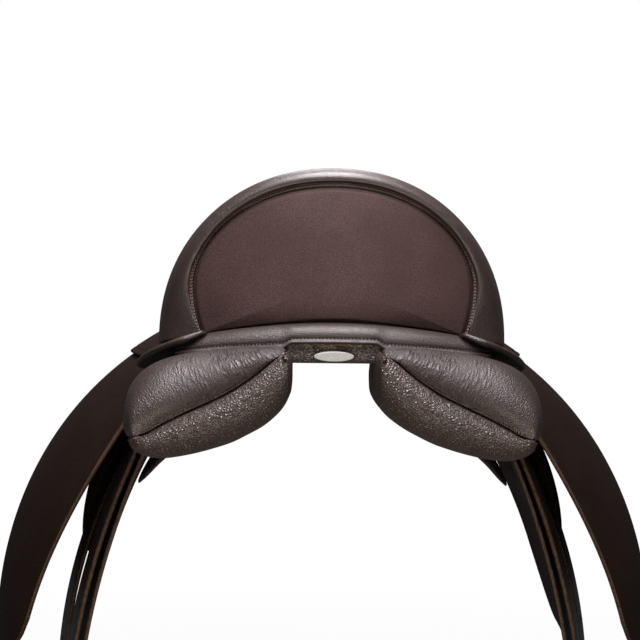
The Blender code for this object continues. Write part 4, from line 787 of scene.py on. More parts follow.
def cushioned(piece, cap, untilY=9.0):
    # a coarse closed copy is blown up as cloth, pinned at the seams that the mask seam names; how far it
    # moved, no more than cap and less its middle swelling, is passed on to the piece's own points
    v, mesh, scene = clothLook, piece.data, bpy.context.scene
    points, normals = read(mesh.vertices, "co", 3), read(mesh.vertices, "normal", 3)
    free = smoothStep(v["near"], v["far"], np.abs(read(mesh.attributes["seam"].data, "value")))
    free = free * (1 - smoothStep(untilY - v["fade"], untilY, points[:, 1]))
    work = bpy.data.objects.new("clothWork", mesh.copy())
    scene.collection.objects.link(work)
    coarse = work.modifiers.new("coarse", "REMESH")
    coarse.mode, coarse.voxel_size = "VOXEL", v["voxel"]
    remade = bpy.data.meshes.new_from_object(work.evaluated_get(bpy.context.evaluated_depsgraph_get()))
    work.modifiers.clear()
    work.data = remade
    start = read(remade.vertices, "co", 3)
    fine = kdTree(points)
    pinned = [i for i, p in enumerate(start) if free[fine.find(p)[1]] < 0.5]
    work.vertex_groups.new(name="pinned").add(pinned, 1.0, "REPLACE")
    cloth = work.modifiers.new("cloth", "CLOTH")
    cloth.collision_settings.use_collision = False
    rules = cloth.settings
    rules.quality, rules.mass, rules.vertex_group_mass = v["quality"], v["mass"], "pinned"
    rules.tension_stiffness = rules.compression_stiffness = rules.shear_stiffness = v["stiffness"]
    rules.use_pressure, rules.uniform_pressure_force = True, v["pressure"]
    rules.effector_weights.gravity = 0.0
    for number in range(1, v["frames"] + 1):
        scene.frame_set(number)
    blown = work.evaluated_get(bpy.context.evaluated_depsgraph_get()).data
    moved = read(blown.vertices, "co", 3) - start
    moved = moved * np.minimum(1, cap / np.maximum(np.linalg.norm(moved, axis=1, keepdims=True), 1e-9))
    bpy.data.objects.remove(work)
    scene.frame_set(1)
    tree = kdTree(start)
    given = np.empty_like(points)
    for i, p in enumerate(points):
        found = tree.find_n(p, v["neighbours"])
        weights = np.array([1 / (distance + 0.001) ** 2 for _, _, distance in found])
        given[i] = weights @ moved[[k for _, k, _ in found]] / weights.sum()
    swollen = (given * normals).sum(axis=1)
    given = given - normals * np.median(swollen[free > 0.9])
    points = points + given * free[:, None]
    mesh.vertices.foreach_set("co", points.ravel())
    mesh.update()
    print("cloth run:", piece.name, len(start), "points, spread",
          round(float(swollen[free > 0.9].std()) * 1000, 2), "mm")


# Seat: the blocked leather over its foam, rolled over the cantle and down to the seam of the facing

seatLook = dict(
    parts=[(0, 0.74, 70), (0.74, 0.915, 36), (0.915, 1.0, 56)], rim=0.0008, crest=(11.0, 12.0),
    roll=0.0034, rollReach=0.0060, rollPast=0.0005, rollFade=(0.02, 0.5),
    pleat=0.00028, pleatRate=70, pleatDrift=0.6, shoulderAt=0.80, shoulderWidth=0.20, shoulderOff=0.003,
    soft=0.0008, softRate=0.9, softShift=2, softFade=(9, 11), foldRear=(0.10, 9.5, 11.5), foldShoulder=0.3,
    channel=0.0022, channelThin=0.0012, channelWall=0.0006, channelFade=(0.0, 0.3),
    channelWidth=[(0, 0.0020), (0.35, 0.0034), (0.8, 0.0054), (math.pi / 2, 0.0050)],
    wornSide=0.12, wornFront=0.02, wornRear=(0.012, 0.02),
    braid=dict(pitch=0.0030, length=0.0028, radius=0.00058, lift=0.0004),
    braidRows=(("inner", 0.34, 0.9), ("outer", 0.78, -0.9)),
    seamDepth=0.0011, seamWidth=0.022, seamAngle=[(0, 0.62), (5, 0.50), (9, 0.42), (13, 0.40)],
    seamStart=(2.6, 3.4), seamEnd=(9.6, 10.6), seamSteps=(3.2, 9.8, 160),
    seamStitch=dict(pitch=0.0042, length=0.0032, radius=0.00042),
    seamRows=(("upper", 0.034), ("lower", -0.034)),
    foamThick=0.008, foamGap=0.0008, foamPressed=0.96, foamRound=0.003,
    webThick=0.0012, webGap=0.0007, webRound=0.0004, crossGap=0.0022)


def makeSeat():
    v, look = seatValues, seatLook
    t = np.concatenate([np.linspace(low, high, count, endpoint=high == 1.0)
                        for low, high, count in look["parts"]])[:, None]
    even = np.linspace(0, math.pi, v["columns"])
    a = (math.pi * (0.5 - 0.5 * np.cos(even)) * 0.5 + even * 0.5)[None, :]
    base = seatRow(t, a)
    normals = gridNormals(base)
    if normals[len(t) // 4, v["columns"] // 2, 2] < 0:
        normals = -normals
    place = t * (seatCount - 1)
    side = np.minimum(a, math.pi - a)
    behind = smoothStep(*look["crest"], place)
    step = np.linalg.norm(np.diff(base, axis=0), axis=-1)
    left = np.concatenate([step[::-1].cumsum(axis=0)[::-1], 0 * base[:1, :, 0]])
    # the roll behind the crest stands proud of a channel that runs round the facing
    wide = smoothThrough(look["channelWidth"], side)
    out = np.clip((left - wide + look["rollPast"]) / look["rollReach"], 0, 1)
    roll = look["roll"] * behind * np.sqrt(1 - (1 - out) ** 2) * smoothStep(*look["rollFade"], side)
    sunk = 1 - smoothStep(wide - look["channelWall"], wide + look["channelWall"], left)
    shoulder = bell(side - look["shoulderAt"], look["shoulderWidth"]) * behind
    shoulder = shoulder * smoothStep(wide, wide + look["shoulderOff"], left)
    pleat = look["pleat"] * shoulder * wander(a * look["pleatRate"] + place * look["pleatDrift"], 4)
    # the sewn line between the seat's middle piece and its sides
    seamAngle = smoothThrough(look["seamAngle"], place)
    seam = -look["seamDepth"] * bell(side - seamAngle, look["seamWidth"]) * smoothStep(*look["seamStart"], place)
    seam = seam * (1 - smoothStep(*look["seamEnd"], place))
    soft = look["soft"] * wander(place * look["softRate"] + look["softShift"], 2) * np.sin(a) ** 2
    soft = soft * (1 - smoothStep(*look["softFade"], place))
    backwards = roll - look["channel"] * sunk * smoothStep(*look["channelFade"], side)
    rearwards = np.array([0.0, -1.0, 0.0])
    skin = base + normals * (pleat + seam + soft)[..., None] + rearwards * backwards[..., None]
    inner = base + normals * (pleat + seam + soft - v["leather"])[..., None]
    inner = inner + rearwards * (backwards - look["channelThin"] * sunk)[..., None]
    (perRow, least), (share, low, high) = look["wornRear"], look["foldRear"]
    edge = np.minimum(np.minimum(side * look["wornSide"], place * look["wornFront"]),
                      (seatCount - 1 - place) * perRow + least)
    fold = share * smoothStep(low, high, place) + look["foldShoulder"] * shoulder
    # the sunk mask marks the channel round the facing, where the seat's finish is rougher and paints shade
    seat = shell("seatLeather", skin, inner, look["rim"], edge, {"fold": fold, "sunk": sunk})
    dress(seat, "saddle", ["seat_cover"], "brown_leather", looks["seat"], looks["darkEdge"], pad=0.8)
    # in the channel two rows of slanted stitches that meet as a braid
    columns = range(2, v["columns"] - 2)
    for label, share, slant in look["braidRows"]:
        line = np.array([[np.interp(-wide[0, j] * share, -left[:, j], skin[:, j, k]) for k in range(3)]
                         for j in columns])
        sewn(f"facingStitches_{label}", line, rearwards, dict(look["braid"], slant=slant), "dark_leather",
             "paleThread")
    for k, sign in (("right", 1), ("left", -1)):
        rows = np.linspace(*look["seamSteps"])
        where = smoothThrough(look["seamAngle"], rows)
        angle = where if sign > 0 else math.pi - where
        for label, shift in look["seamRows"]:
            turned = angle + shift * sign
            path, near = (seatRow(rows / (seatCount - 1), turned + by) for by in (0, 0.01))
            ahead = np.gradient(path, axis=0)
            up = unit(np.cross(ahead, near - path))
            up = np.where(up[:, 2:3] < 0, -up, up)
            sewn(f"seatStitches_{label}_{k}", path, up, look["seamStitch"])


def underSeat(firstColumn, lastColumn, firstRow, lastRow, depth, across, down):
    # a grid this deep under the seat's skin, between two of the CAD's columns and rows
    t = np.linspace(firstRow, lastRow, down)[:, None] / (seatCount - 1)
    u = np.linspace(firstColumn, lastColumn, across)[None, :] / seatValues["cadColumns"]
    a = math.pi * (1 - u)
    step = 0.004
    downBy, acrossBy = seatRow(t + step, a) - seatRow(t - step, a), seatRow(t, a + step) - seatRow(t, a - step)
    return seatRow(t, a) + unit(np.cross(downBy, acrossBy)) * depth


def makeUnderSeat():
    v = seatLook
    middle = seatValues["leather"] + v["foamGap"] + v["foamThick"] / 2
    grid = underSeat(2, 18, 4, 8, middle, 60, 50)
    foam = sheetShell("seatFoam", grid, v["foamThick"] * v["foamPressed"], v["foamRound"])
    dress(foam, "saddle", ["seat_foam"], "seat_padding", looks["foam"], looks["foam"], pad=0.7)
    depth = seatValues["leather"] + v["foamGap"] * 2 + v["foamThick"] + v["webGap"]
    for side, columns in (("left", (7.4, 9.0)), ("right", (11.0, 12.6))):
        web = underSeat(*columns, 4, 8, depth, 12, 60)
        makeWeb(f"seatWeb_{side}", f"seat_web_{side}", web, v["webThick"], v["webRound"], looks["web"])
    cross = underSeat(4, 16, 6.5, 7.1, depth + v["crossGap"], 70, 10)
    makeWeb("seatWebCross", "seat_web_cross", cross, v["webThick"], v["webRound"], looks["web"])


def makeWeb(name, solid, grid, thickness, bulge, look):
    # a strap of web
    web = sheetShell(name, grid, thickness, bulge)
    dress(web, "saddle", [solid], "canvas_web", look, look)


# Facing: a crowned pad whose leather turns down into the seam all round

facingLook = dict(rings=44, topSteps=220, lowSteps=90, turnDown=0.0034, turnReach=0.0040, centreUp=0.004,
                  crownPower=3.2, proud=0.0012, soft=0.0006, softRates=(30, 34), softPower=4,
                  backShare=0.965, cap=0.0015)


def facingOutline():
    # over the top from right to left, then back along the low side, half a seam inside the edge
    v, inset = facingLook, facingValues["seam"] / 2
    top = facingEdge(np.linspace(0, math.pi, v["topSteps"], endpoint=False), inset)
    ends = facingEdge(np.array([0.0, math.pi]), inset)
    x = np.linspace(ends[1, 0], ends[0, 0], v["lowSteps"], endpoint=False)
    low = stacked(x, cantleBack(x), facingLowerZ(x) + inset)
    return np.concatenate([top, low])


def makeFacing():
    f, v = facingValues, facingLook
    edge = facingOutline()
    share = np.sin(np.linspace(0, 1, v["rings"] + 1)[1:] * math.pi / 2)[:, None]
    centre = np.array([0.0, f["centreZ"] + v["centreUp"]])
    x = centre[0] + (edge[None, :, 0] - centre[0]) * share
    z = centre[1] + (edge[None, :, 2] - centre[1]) * share
    reach = np.hypot(edge[:, 0] - centre[0], edge[:, 2] - centre[1])[None, :] * (1 - share)
    crown = f["crown"] * (1 - share ** v["crownPower"])
    down = v["turnDown"] * (1 - smoothStep(0, v["turnReach"], reach))
    rateX, rateZ = v["softRates"]
    soft = v["soft"] * wander(x * rateX, 5) * wander(z * rateZ, 6) * (1 - share ** v["softPower"])
    outer = stacked(x, cantleBack(x) - crown - v["proud"] + down - soft, z)
    back = share[::-1] * v["backShare"]
    x2 = centre[0] + (edge[None, :, 0] - centre[0]) * back
    z2 = centre[1] + (edge[None, :, 2] - centre[1]) * back
    inner = stacked(x2, cantleBack(x2) + f["thickness"], z2)
    rings = np.concatenate([outer, inner])
    uv = np.stack([rings[..., 0], rings[..., 2]], -1)
    seam = np.concatenate([reach, 0 * reach])
    pad = loftMesh("cantleFacing", rings, uv, {"seam": seam})
    cushioned(pad, v["cap"])
    dress(pad, "saddle", ["cantle_facing"], "dark_leather", looks["facing"], pad=0.85)


# Rear band: a padded strip under the facing, flat along its sewn lower edge; and the strip and stud below

bandLook = dict(half=0.127, past=0.0165, cornerX=0.140, lowZ=0.1015, drop=0.0062, lowY=-0.252, radius=0.300,
                thickness=0.003, bulge=0.0050, flange=0.80, rows=56, columns=170, lift=0.0031, extra=0.0020,
                stepFrom=0.0370, stepTo=0.0480, groove=0.0011, grooveAt=0.035, grooveWidth=0.022, lip=0.0012,
                lipFrom=0.02, lipTo=0.06, fullness=0.65, upShare=0.55, rim=0.0007, wornLow=0.02, wornEnd=0.1,
                stitchShare=0.985, stitchSteps=260,
                stitch=dict(pitch=0.0033, length=0.0022, radius=0.00070, lift=0.0004))


def bandPoint(x, v):
    # down from the facing over a padded swell, into the stitched groove, and down the flat flange
    b = bandLook
    topZ = facingLowerZ(x) - facingValues["seam"] / 2
    lowZ = b["lowZ"] - b["drop"] * (x / b["cornerX"]) ** 2
    lowZ = lowZ + b["lift"] - (b["lift"] + b["extra"]) * smoothStep(b["stepFrom"], b["stepTo"], np.abs(x))
    topY, lowY = cantleBack(x), b["lowY"] + x * x / (2 * b["radius"])
    share = v / b["flange"]
    swell = b["bulge"] * np.clip(np.sin(math.pi * np.clip(share, 0, 1)), 0, 1) ** b["fullness"]
    dip = b["groove"] * bell(v - b["flange"] - b["grooveAt"], b["grooveWidth"])
    lip = b["lip"] * smoothStep(b["flange"] - b["lipFrom"], b["flange"] + b["lipTo"], v)
    return stacked(x, topY + (lowY - topY) * v - swell - lip + dip,
                   topZ + (lowZ - topZ) * v + swell * b["upShare"])


def makeBand():
    b = bandLook
    half = b["half"] + b["past"]
    x = np.linspace(-half, half, b["columns"])[None, :]
    v = np.linspace(0, 1, b["rows"])[:, None]
    outer = bandPoint(x + 0 * v, v + 0 * x)
    normals = gridNormals(outer)
    if normals[10, 10, 1] > 0:
        normals = -normals
    edge = np.minimum((1 - v) * b["wornLow"], (1 - np.abs(x) / half) * b["wornEnd"])
    band = shell("rearBand", outer, outer - normals * b["thickness"], b["rim"], edge)
    dress(band, "saddle", ["rear_band"], "brown_leather", looks["band"], looks["bandEdge"])
    line = np.linspace(-half * b["stitchShare"], half * b["stitchShare"], b["stitchSteps"])
    path = bandPoint(line, np.full_like(line, b["flange"] + b["grooveAt"]))
    sewn("bandStitches", path, [0.0, -0.92, 0.38], b["stitch"])


stripLook = dict(half=0.0345, past=0.0024, ear=0.0060, earFrom=0.26, earTo=0.50, rise=0.0010, height=0.0160,
                 thickness=0.0035, inset=0.0080, turn=0.004, lean=0.12, tail=0.030, badgeShare=0.695,
                 badgeOff=0.0009, rim=0.0010, wornAndLit=0.02, sheenMost=0.01, rows=56, columns=90)


def stripY(z):
    return bandLook["lowY"] + stripLook["inset"] + (bandLook["lowZ"] - z) * stripLook["lean"]


def makeStrip():
    s = stripLook
    top = bandLook["lowZ"] + s["rise"]
    half = s["half"] + s["past"]
    v = np.linspace(0, 1, s["rows"])[:, None]
    half = half + s["ear"] * (1 - smoothStep(s["earFrom"], s["earTo"], v))
    x = np.linspace(-1, 1, s["columns"])[None, :] * half
    turn = np.clip(v - 0.5, 0, 1) * 2
    z = top - (s["height"] - s["turn"]) * np.clip(v * 2, 0, 1) - s["turn"] * np.sin(turn * math.pi / 2)
    y = stripY(z) + s["turn"] * (1 - np.cos(turn * math.pi / 2)) + s["tail"] * np.clip(turn - 0.5, 0, 1)
    grid = stacked(x, y + 0 * x, z + 0 * x)
    # the edge mask is the distance from the strip's top, so its top is painted paler: a painted highlight
    edge = np.minimum(v * s["wornAndLit"], s["sheenMost"]) + 0 * x
    strip = sheetShell("gulletStrip", grid, s["thickness"], s["rim"], edge)
    dress(strip, "saddle", ["gullet_strip"], "dark_leather", looks["strip"], looks["darkEdge"])


badgeLook = dict(
    width=0.0376, height=0.0108, thickness=0.0019, bezel=0.0008, bezelRadius=0.00075, bezelProud=0.0006,
    bezelShare=0.7, insetWide=1.8, insetHigh=0.9, steps=96, bezelSteps=120, bezelAround=10,
    depth=[0.0, 0.55, 0.75, 0.86, 0.92, 0.96, 0.99, 1.0],
    inset=[0.0, 0.0, 0.0001, 0.0004, 0.0009, 0.0018, 0.0028, 0.0040])


def makeBadge():
    # a plain domed oval in a dark bezel
    g = badgeLook
    middleZ = bandLook["lowZ"] + stripLook["rise"] - stripLook["height"] * stripLook["badgeShare"]
    frontY = stripY(middleZ) - stripLook["thickness"] / 2 - stripLook["badgeOff"]
    turn = np.linspace(0, 2 * math.pi, g["steps"], endpoint=False)[None, :]
    depth = np.array(g["depth"])[:, None] * g["thickness"]
    inset = np.array(g["inset"])[:, None]
    x = (g["width"] / 2 - g["bezel"] - inset * g["insetWide"]) * np.cos(turn)
    z = (g["height"] / 2 - g["bezel"] - inset * g["insetHigh"]) * np.sin(turn)
    face = loftMesh("badgeFace", stacked(x, frontY - depth, middleZ + z))
    dress(face, "saddle", ["badge_oval"], "badge_enamel", looks["enamel"])
    around = np.linspace(0, 2 * math.pi, g["bezelSteps"], endpoint=False)
    path = stacked((g["width"] / 2 - g["bezel"] * g["bezelShare"]) * np.cos(around), frontY - g["bezelProud"],
                   middleZ + (g["height"] / 2 - g["bezel"] * g["bezelShare"]) * np.sin(around))
    bezel = tubeMesh("badgeBezel", path, [0.0, -1.0, 0.0], g["bezelRadius"], g["bezelAround"], closed=True)
    dress(bezel, "saddle", [], "badge_enamel", looks["blackSteel"])


# Panels: wool cushions with a sewn line from the gullet round the rear and along the side

panelLook = dict(
    stations=[(-0.222, 0.0358, 0.1048, 0.1882, 0.0850, 0.1957, -0.0157, 0.0397, 0.0240),
              (-0.186, 0.0360, 0.0972, 0.1755, 0.0782, 0.1885, -0.0150, 0.0395, 0.0250),
              (-0.150, 0.0365, 0.0950, 0.1620, 0.0760, 0.1820, -0.0130, 0.0390, 0.0270),
              (-0.080, 0.0380, 0.0880, 0.1140, 0.0840, 0.1540, -0.0020, 0.0400, 0.0340),
              (0.000, 0.0410, 0.0960, 0.0900, 0.0960, 0.1500, -0.0020, 0.0490, 0.0320),
              (0.080, 0.0440, 0.1040, 0.0700, 0.1040, 0.1720, -0.0140, 0.1060, 0.0060),
              (0.120, 0.0440, 0.1040, 0.0615, 0.1085, 0.1890, -0.0330, 0.1530, -0.0190),
              (0.160, 0.0440, 0.1040, 0.0540, 0.1120, 0.2060, -0.0520, 0.1960, -0.0590)],
    bow=[(-0.222, 0.0), (-0.080, 0.0), (0.0, 0.004), (0.080, 0.010), (0.160, 0.013)],
    squareness=((9.0, 3.3), (2.24, 2.38)), rearDome=0.056, domeFullness=2.7, frontDome=0.040, frontUntil=0.96,
    columns=200, gathered=0.30, rearRows=66, tightUntil=0.30, bodyRows=60, frontRows=12, coreFrom=0.05,
    coreTo=0.965, levelUntil=0.12,
    seamLine=[(0.0390, 0.0994), (0.0510, 0.0909), (0.0654, 0.0781), (0.0796, 0.0671), (0.0965, 0.0567),
              (0.1145, 0.0480), (0.1349, 0.0387), (0.1530, 0.0301), (0.1686, 0.0221), (0.1818, 0.0183)],
    valley=0.0060, valleyUp=0.0085, valleyDown=0.0064, slit=0.0036, slitWidth=0.00100, lip=0.0012,
    lipAt=0.0021, lipWidth=0.00080, fold=0.00035, foldAt=0.0022, foldWidth=0.0009, groove=0.0003,
    grooveAt=0.0030, grooveWidth=0.0006, swell=0.0030, swellWidth=0.014, seamFade=(-0.20, 0.02),
    shallowOut=(0.62, 0.150, 0.190), shallowIn=(0.40, 0.037, 0.055),
    lump=0.0009, lumpRates=(40, 25, 38), lumpFrom=0.02,
    pulledUp=(0.002, 0.006), pulledRear=(-0.235, -0.205), pulledLeast=0.45, pulledAt=0.012, pulledWidth=0.030,
    pulledSide=(0.85, 0.115, 0.165),
    narrow=0.0042, narrowSide=(0.120, 0.195), narrowRear=(-0.200, -0.110), cap=0.0020, capUntil=-0.04,
    seam=dict(angles=2400, coreSteps=160, domeSteps=60, sideSteps=90, sideUntil=0.06, pitch=0.0011),
    stitchTrim=(0.004, 0.006), stitchSteps=220, stitchSmooth=7,
    stitches=(("lip", 0.0030, 0.0, dict(pitch=0.0032, length=0.0020, radius=0.00036)),
              ("slit", 0.0, 0.0004, dict(pitch=0.0030, length=0.0024, radius=0.00040))))


def panelRing(y, turn):
    # a rounded square, each quarter with its own squareness, stretched over four corners and bowed
    p = panelLook
    c = smoothThrough(p["stations"], y)
    bow = smoothThrough(p["bow"], y)
    (upperIn, upperOut), (lowerIn, lowerOut) = p["squareness"]
    n = np.where(np.sin(turn) >= 0, np.where(np.cos(turn) >= 0, upperOut, upperIn),
                 np.where(np.cos(turn) >= 0, lowerOut, lowerIn))
    size = (np.abs(np.cos(turn)) ** n + np.abs(np.sin(turn)) ** n) ** (1 / n)
    across, up = np.cos(turn) / size, np.sin(turn) / size
    right, top = (across + 1) / 2, (up + 1) / 2
    point = []
    for axis in (0, 1):
        upper = c[..., axis] + (c[..., 2 + axis] - c[..., axis]) * right
        lower = c[..., 6 + axis] + (c[..., 4 + axis] - c[..., 6 + axis]) * right
        point.append(lower + (upper - lower) * top)
    lean = unit(np.stack([c[..., 1] - c[..., 7], c[..., 6] - c[..., 0]], -1))
    bulge = bow * (1 - up * up)
    return point[0] + lean[..., 0] * bulge, point[1] + lean[..., 1] * bulge, across


def panelGrid():
    # rear: the first ring drawn in, keep 1 to 0, onto the seam line while it swells back;
    # then the body's rings, and the front drawn in round
    p = panelLook
    even = np.linspace(0, 2 * math.pi, p["columns"], endpoint=False)
    turn = (even - p["gathered"] * np.sin(2 * even))[None, :]
    first, last = p["stations"][0][0], p["stations"][-1][0]
    tight = p["rearRows"] // 2
    wide = np.linspace(math.asin(p["tightUntil"]), math.pi / 2, p["rearRows"] - tight, endpoint=False)
    keep = np.concatenate([np.linspace(0, p["tightUntil"], tight, endpoint=False), np.sin(wide)])[:, None]
    x, z, across = panelRing(np.full((1, 1), first), turn)
    share = p["coreFrom"] + (p["coreTo"] - p["coreFrom"]) * (across + 1) / 2
    core = alongPoints(p["seamLine"], share)
    m = p["domeFullness"]
    rear = stacked(core[..., 0] + (x - core[..., 0]) * keep, first - p["rearDome"] * (1 - keep ** m) ** (1 / m),
                   core[..., 1] + (z - core[..., 1]) * keep)
    y = np.linspace(first, last, p["bodyRows"])[:, None]
    bx, bz, _ = panelRing(y, turn + 0 * y)
    body = stacked(bx, y + 0 * bx, bz)
    fx, fz, _ = panelRing(np.full((1, 1), last), turn)
    phi = np.linspace(0, math.pi / 2 * p["frontUntil"], p["frontRows"] + 1)[1:, None]
    cx, cz = fx.mean(), fz.mean()
    front = stacked(cx + (fx - cx) * np.cos(phi), last + p["frontDome"] * np.sin(phi) + 0 * fx,
                    cz + (fz - cz) * np.cos(phi))
    return np.concatenate([rear, body, front]), keep[:, 0]


def panelSeam():
    # the sewn line on the panel: back along the gullet, down across the rear, forward along the side
    p, seam = panelLook, panelLook["seam"]
    first, m = p["stations"][0][0], p["domeFullness"]
    angles = np.linspace(0, 2 * math.pi, seam["angles"], endpoint=False)
    ringX, ringZ, _ = panelRing(np.full(seam["angles"], first), angles)
    middle = alongPoints(p["seamLine"], np.linspace(p["coreFrom"], p["coreTo"], seam["coreSteps"]))
    core = stacked(middle[:, 0], first - p["rearDome"], middle[:, 1])
    ends = []
    for start, beyond in ((middle[0], p["seamLine"][0]), (middle[-1], p["seamLine"][-1])):
        towards = unit(np.stack([ringX - start[0], ringZ - start[1]], -1))
        pick = (towards @ unit(np.array(beyond) - start)).argmax()
        keep = np.linspace(0, 1, seam["domeSteps"])
        dome = first - p["rearDome"] * (1 - keep ** m) ** (1 / m)
        over = stacked(start[0] + (ringX[pick] - start[0]) * keep, dome,
                       start[1] + (ringZ[pick] - start[1]) * keep)
        ys = np.linspace(first, seam["sideUntil"], seam["sideSteps"])
        x, z, _ = panelRing(ys, np.full(seam["sideSteps"], angles[pick]))
        ends.append(np.concatenate([over, stacked(x, ys, z)[1:]]))
    return evenly(np.concatenate([ends[0][:0:-1], core, ends[1][1:]]), seam["pitch"])


def closedNormals(grid):
    # normals of a grid whose columns close on themselves
    wrapped = np.concatenate([grid[:, -1:], grid, grid[:, :1]], axis=1)
    return gridNormals(wrapped)[:, 1:-1]


def nearSeam(grid, seam):
    # for each point, how far along the seam its nearest place is, and its distance, plus above, minus below
    arc = walked(seam)
    flat = grid.reshape(-1, 3)
    nearest = np.empty(len(flat), int)
    far = np.empty(len(flat))
    batch = 4000
    for start in range(0, len(flat), batch):
        some = slice(start, start + batch)
        square = ((flat[some, None] - seam[None]) ** 2).sum(-1)
        nearest[some] = square.argmin(axis=1)
        far[some] = np.sqrt(square.min(axis=1))
    above = np.where(flat[:, 2] >= seam[nearest, 2], 1.0, -1.0)
    return arc[nearest].reshape(grid.shape[:2]), (far * above).reshape(grid.shape[:2])


def makePanel(side):
    # the wool cushion pulled in along its seam: a slit, a rounded lip below it and a low fold above it
    p, mirror = panelLook, flipped(side)
    grid, keep = panelGrid()
    normals = closedNormals(grid)
    if ((grid - grid.mean(axis=1, keepdims=True)) * normals)[p["rearRows"] + 5].sum() < 0:
        normals = -normals
    # near the rear seam the normals turn to point straight back
    level = np.zeros(len(grid))
    level[:len(keep)] = np.clip(1 - keep / p["levelUntil"], 0, 1)
    level = level[:, None, None]
    normals = unit(normals * (1 - level) + np.array([0.0, -1.0, 0.0]) * level)
    arc, away = nearSeam(grid, panelSeam())
    x, y, z = grid[..., 0], grid[..., 1], grid[..., 2]
    fade = 1 - smoothStep(*p["seamFade"], y)
    distance = np.abs(away)
    (outBy, outFrom, outTo), (inBy, inFrom, inTo) = p["shallowOut"], p["shallowIn"]
    ends = 1 - outBy * smoothStep(outFrom, outTo, x) - inBy * (1 - smoothStep(inFrom, inTo, x))
    wide = np.where(away > 0, p["valleyUp"], p["valleyDown"])
    depth = p["valley"] * bell(distance, wide) * ends + p["slit"] * bell(distance, p["slitWidth"])
    depth = depth * fade
    lip = (p["lip"] * bell(away + p["lipAt"], p["lipWidth"])
           + p["fold"] * bell(away - p["foldAt"], p["foldWidth"])
           - p["groove"] * bell(away - p["grooveAt"], p["grooveWidth"]))
    facing = np.clip(-normals[..., 1], 0, 1)
    swell = p["swell"] * (1 - bell(distance, p["swellWidth"])) * facing
    rateX, rateY, rateZ = p["lumpRates"]
    lump = p["lump"] * wander(x * rateX + y * rateY, 11) * wander(z * rateZ, 12)
    lump = lump * smoothStep(0, p["lumpFrom"], distance)
    skin = grid + normals * (swell + lump + lip * fade - depth)[..., None]
    # the pulled creases: above the seam, strongest near it, and weaker towards the side
    upper = smoothStep(*p["pulledUp"], away) * (1 - smoothStep(*p["pulledRear"], y))
    least, (sideBy, sideFrom, sideTo) = p["pulledLeast"], p["pulledSide"]
    fold = upper * (least + (1 - least) * bell(away - p["pulledAt"], p["pulledWidth"]))
    fold = fold * (1 - sideBy * smoothStep(sideFrom, sideTo, x))
    narrow = p["narrow"] * smoothStep(*p["narrowSide"], skin[..., 0]) * (1 - smoothStep(*p["narrowRear"], y))
    skin = (skin - stacked(narrow, 0, 0)) * mirror
    # below the seam the edge mask is the distance from the seam, so the lower hide is painted paler in a band
    # just under the slit: a painted highlight on its lip
    masks = {"fold": fold, "seam": away, "edge": np.where(away < 0, distance * 1.1, 0.02)}
    panel = loftMesh(f"woolPanel_{side}", skin, np.stack([arc, away], -1), masks, capStart=False, weld=1e-5,
                     split="seam")
    cushioned(panel, p["cap"], p["capUntil"])
    dress(panel, "saddle", [f"panel_{side}"], "dark_leather", looks["panelTop"], looks["panelLow"], pad=0.85)
    # the stitches in the groove above the slit, and the thread that shows in the slit
    rear = slice(0, p["rearRows"])
    near, far = p["stitchTrim"]
    walk = np.linspace(arc[0].min() + near, arc[0].max() - far, p["stitchSteps"])
    smooth = p["stitchSmooth"]
    kernel = np.full(smooth, 1 / smooth)
    for label, at, sunk, values in p["stitches"]:
        cost = (arc[rear].ravel()[None] - walk[:, None]) ** 2 + (away[rear].ravel()[None] - at) ** 2
        spot = cost.argmin(axis=1)
        line, up = skin[rear].reshape(-1, 3)[spot], (normals * mirror)[rear].reshape(-1, 3)[spot]
        line = np.stack([np.convolve(np.pad(c, smooth // 2, mode="edge"), kernel, mode="valid")
                         for c in line.T], -1)
        sewn(f"panelStitches_{label}_{side}", line - up * sunk, up, values, "dark_leather")


# Flaps, skirts, sweat flaps: thick leather that hangs on its own arc, creased along its border

def borderDistance(grid):
    # how far each point lies from the grid's nearest side, in metres
    across, down = walked(grid, 1), walked(grid)
    return np.minimum(np.minimum(across, across[:, -1:] - across), np.minimum(down, down[-1:] - down))


def creased(grid, outwards, at=0.0042, depth=0.0005, width=0.0009):
    # the saddler's hot crease, a fine groove that follows the border
    normals = gridNormals(grid)
    normals = normals * np.sign((normals * outwards).sum(-1, keepdims=True) + 1e-12)
    distance = borderDistance(grid)
    return grid - normals * (depth * bell(distance - at, width))[..., None], normals, distance


def hangingLeather(name, grid, thickness, materials, body, nodes, slot, side, holes=(), holeRadius=0.0):
    # leather as thick as said about its middle grid, creased on the side that faces out
    front, normals, distance = creased(grid, [sides[side], 0.0, 0.6])
    outer, inner = front + normals * thickness / 2, grid - normals * thickness / 2
    piece = shell(name, outer, inner, thickness * 0.40, distance, None, holes, holeRadius)
    dress(piece, body, nodes, slot, *materials)


def hangingEdges(v, look):
    # along its length, w 0 to 1, a flap reaches from its rear edge to its front edge, its corners rounded
    u, w = np.linspace(0, 1, look["columns"])[None, :], np.linspace(0, 1, look["rows"])[:, None]
    length = roundedLength(v["length"], v["corner"], u)
    rough = w * length
    return smoothThrough(v["rearEdge"], rough) * (1 - u) + smoothThrough(v["frontEdge"], rough) * u, length, w


flapLook = dict(columns=110, rows=120)
sweatLook = dict(columns=90, rows=100, notchShare=0.9)


def makeFlap(side):
    y, length, w = hangingEdges(flapValues, flapLook)
    top = flapValues["topGap"] + notch(y)
    grid = flapPoint(top + (length - top) * w, y, 0.0) * flipped(side)
    hangingLeather(f"saddleFlap_{side}", grid, flapValues["thickness"], (looks["flap"], looks["burnished"]),
                   f"flap_{side}", [f"flap_{side}"], "brown_leather", side)


skirtLook = dict(thickness=0.0036, gap=0.0012, top=0.002, bulge=0.0119, rearY=-0.0980, frontY=0.178,
                 depths=[(-0.10, 0.020), (-0.085, 0.038), (-0.06, 0.054), (-0.03, 0.068), (0.05, 0.108),
                         (0.11, 0.128), (0.16, 0.112), (0.185, 0.070)],
                 bulgeReach=1.45, bulgeFrom=0.6, columns=90, rows=50)


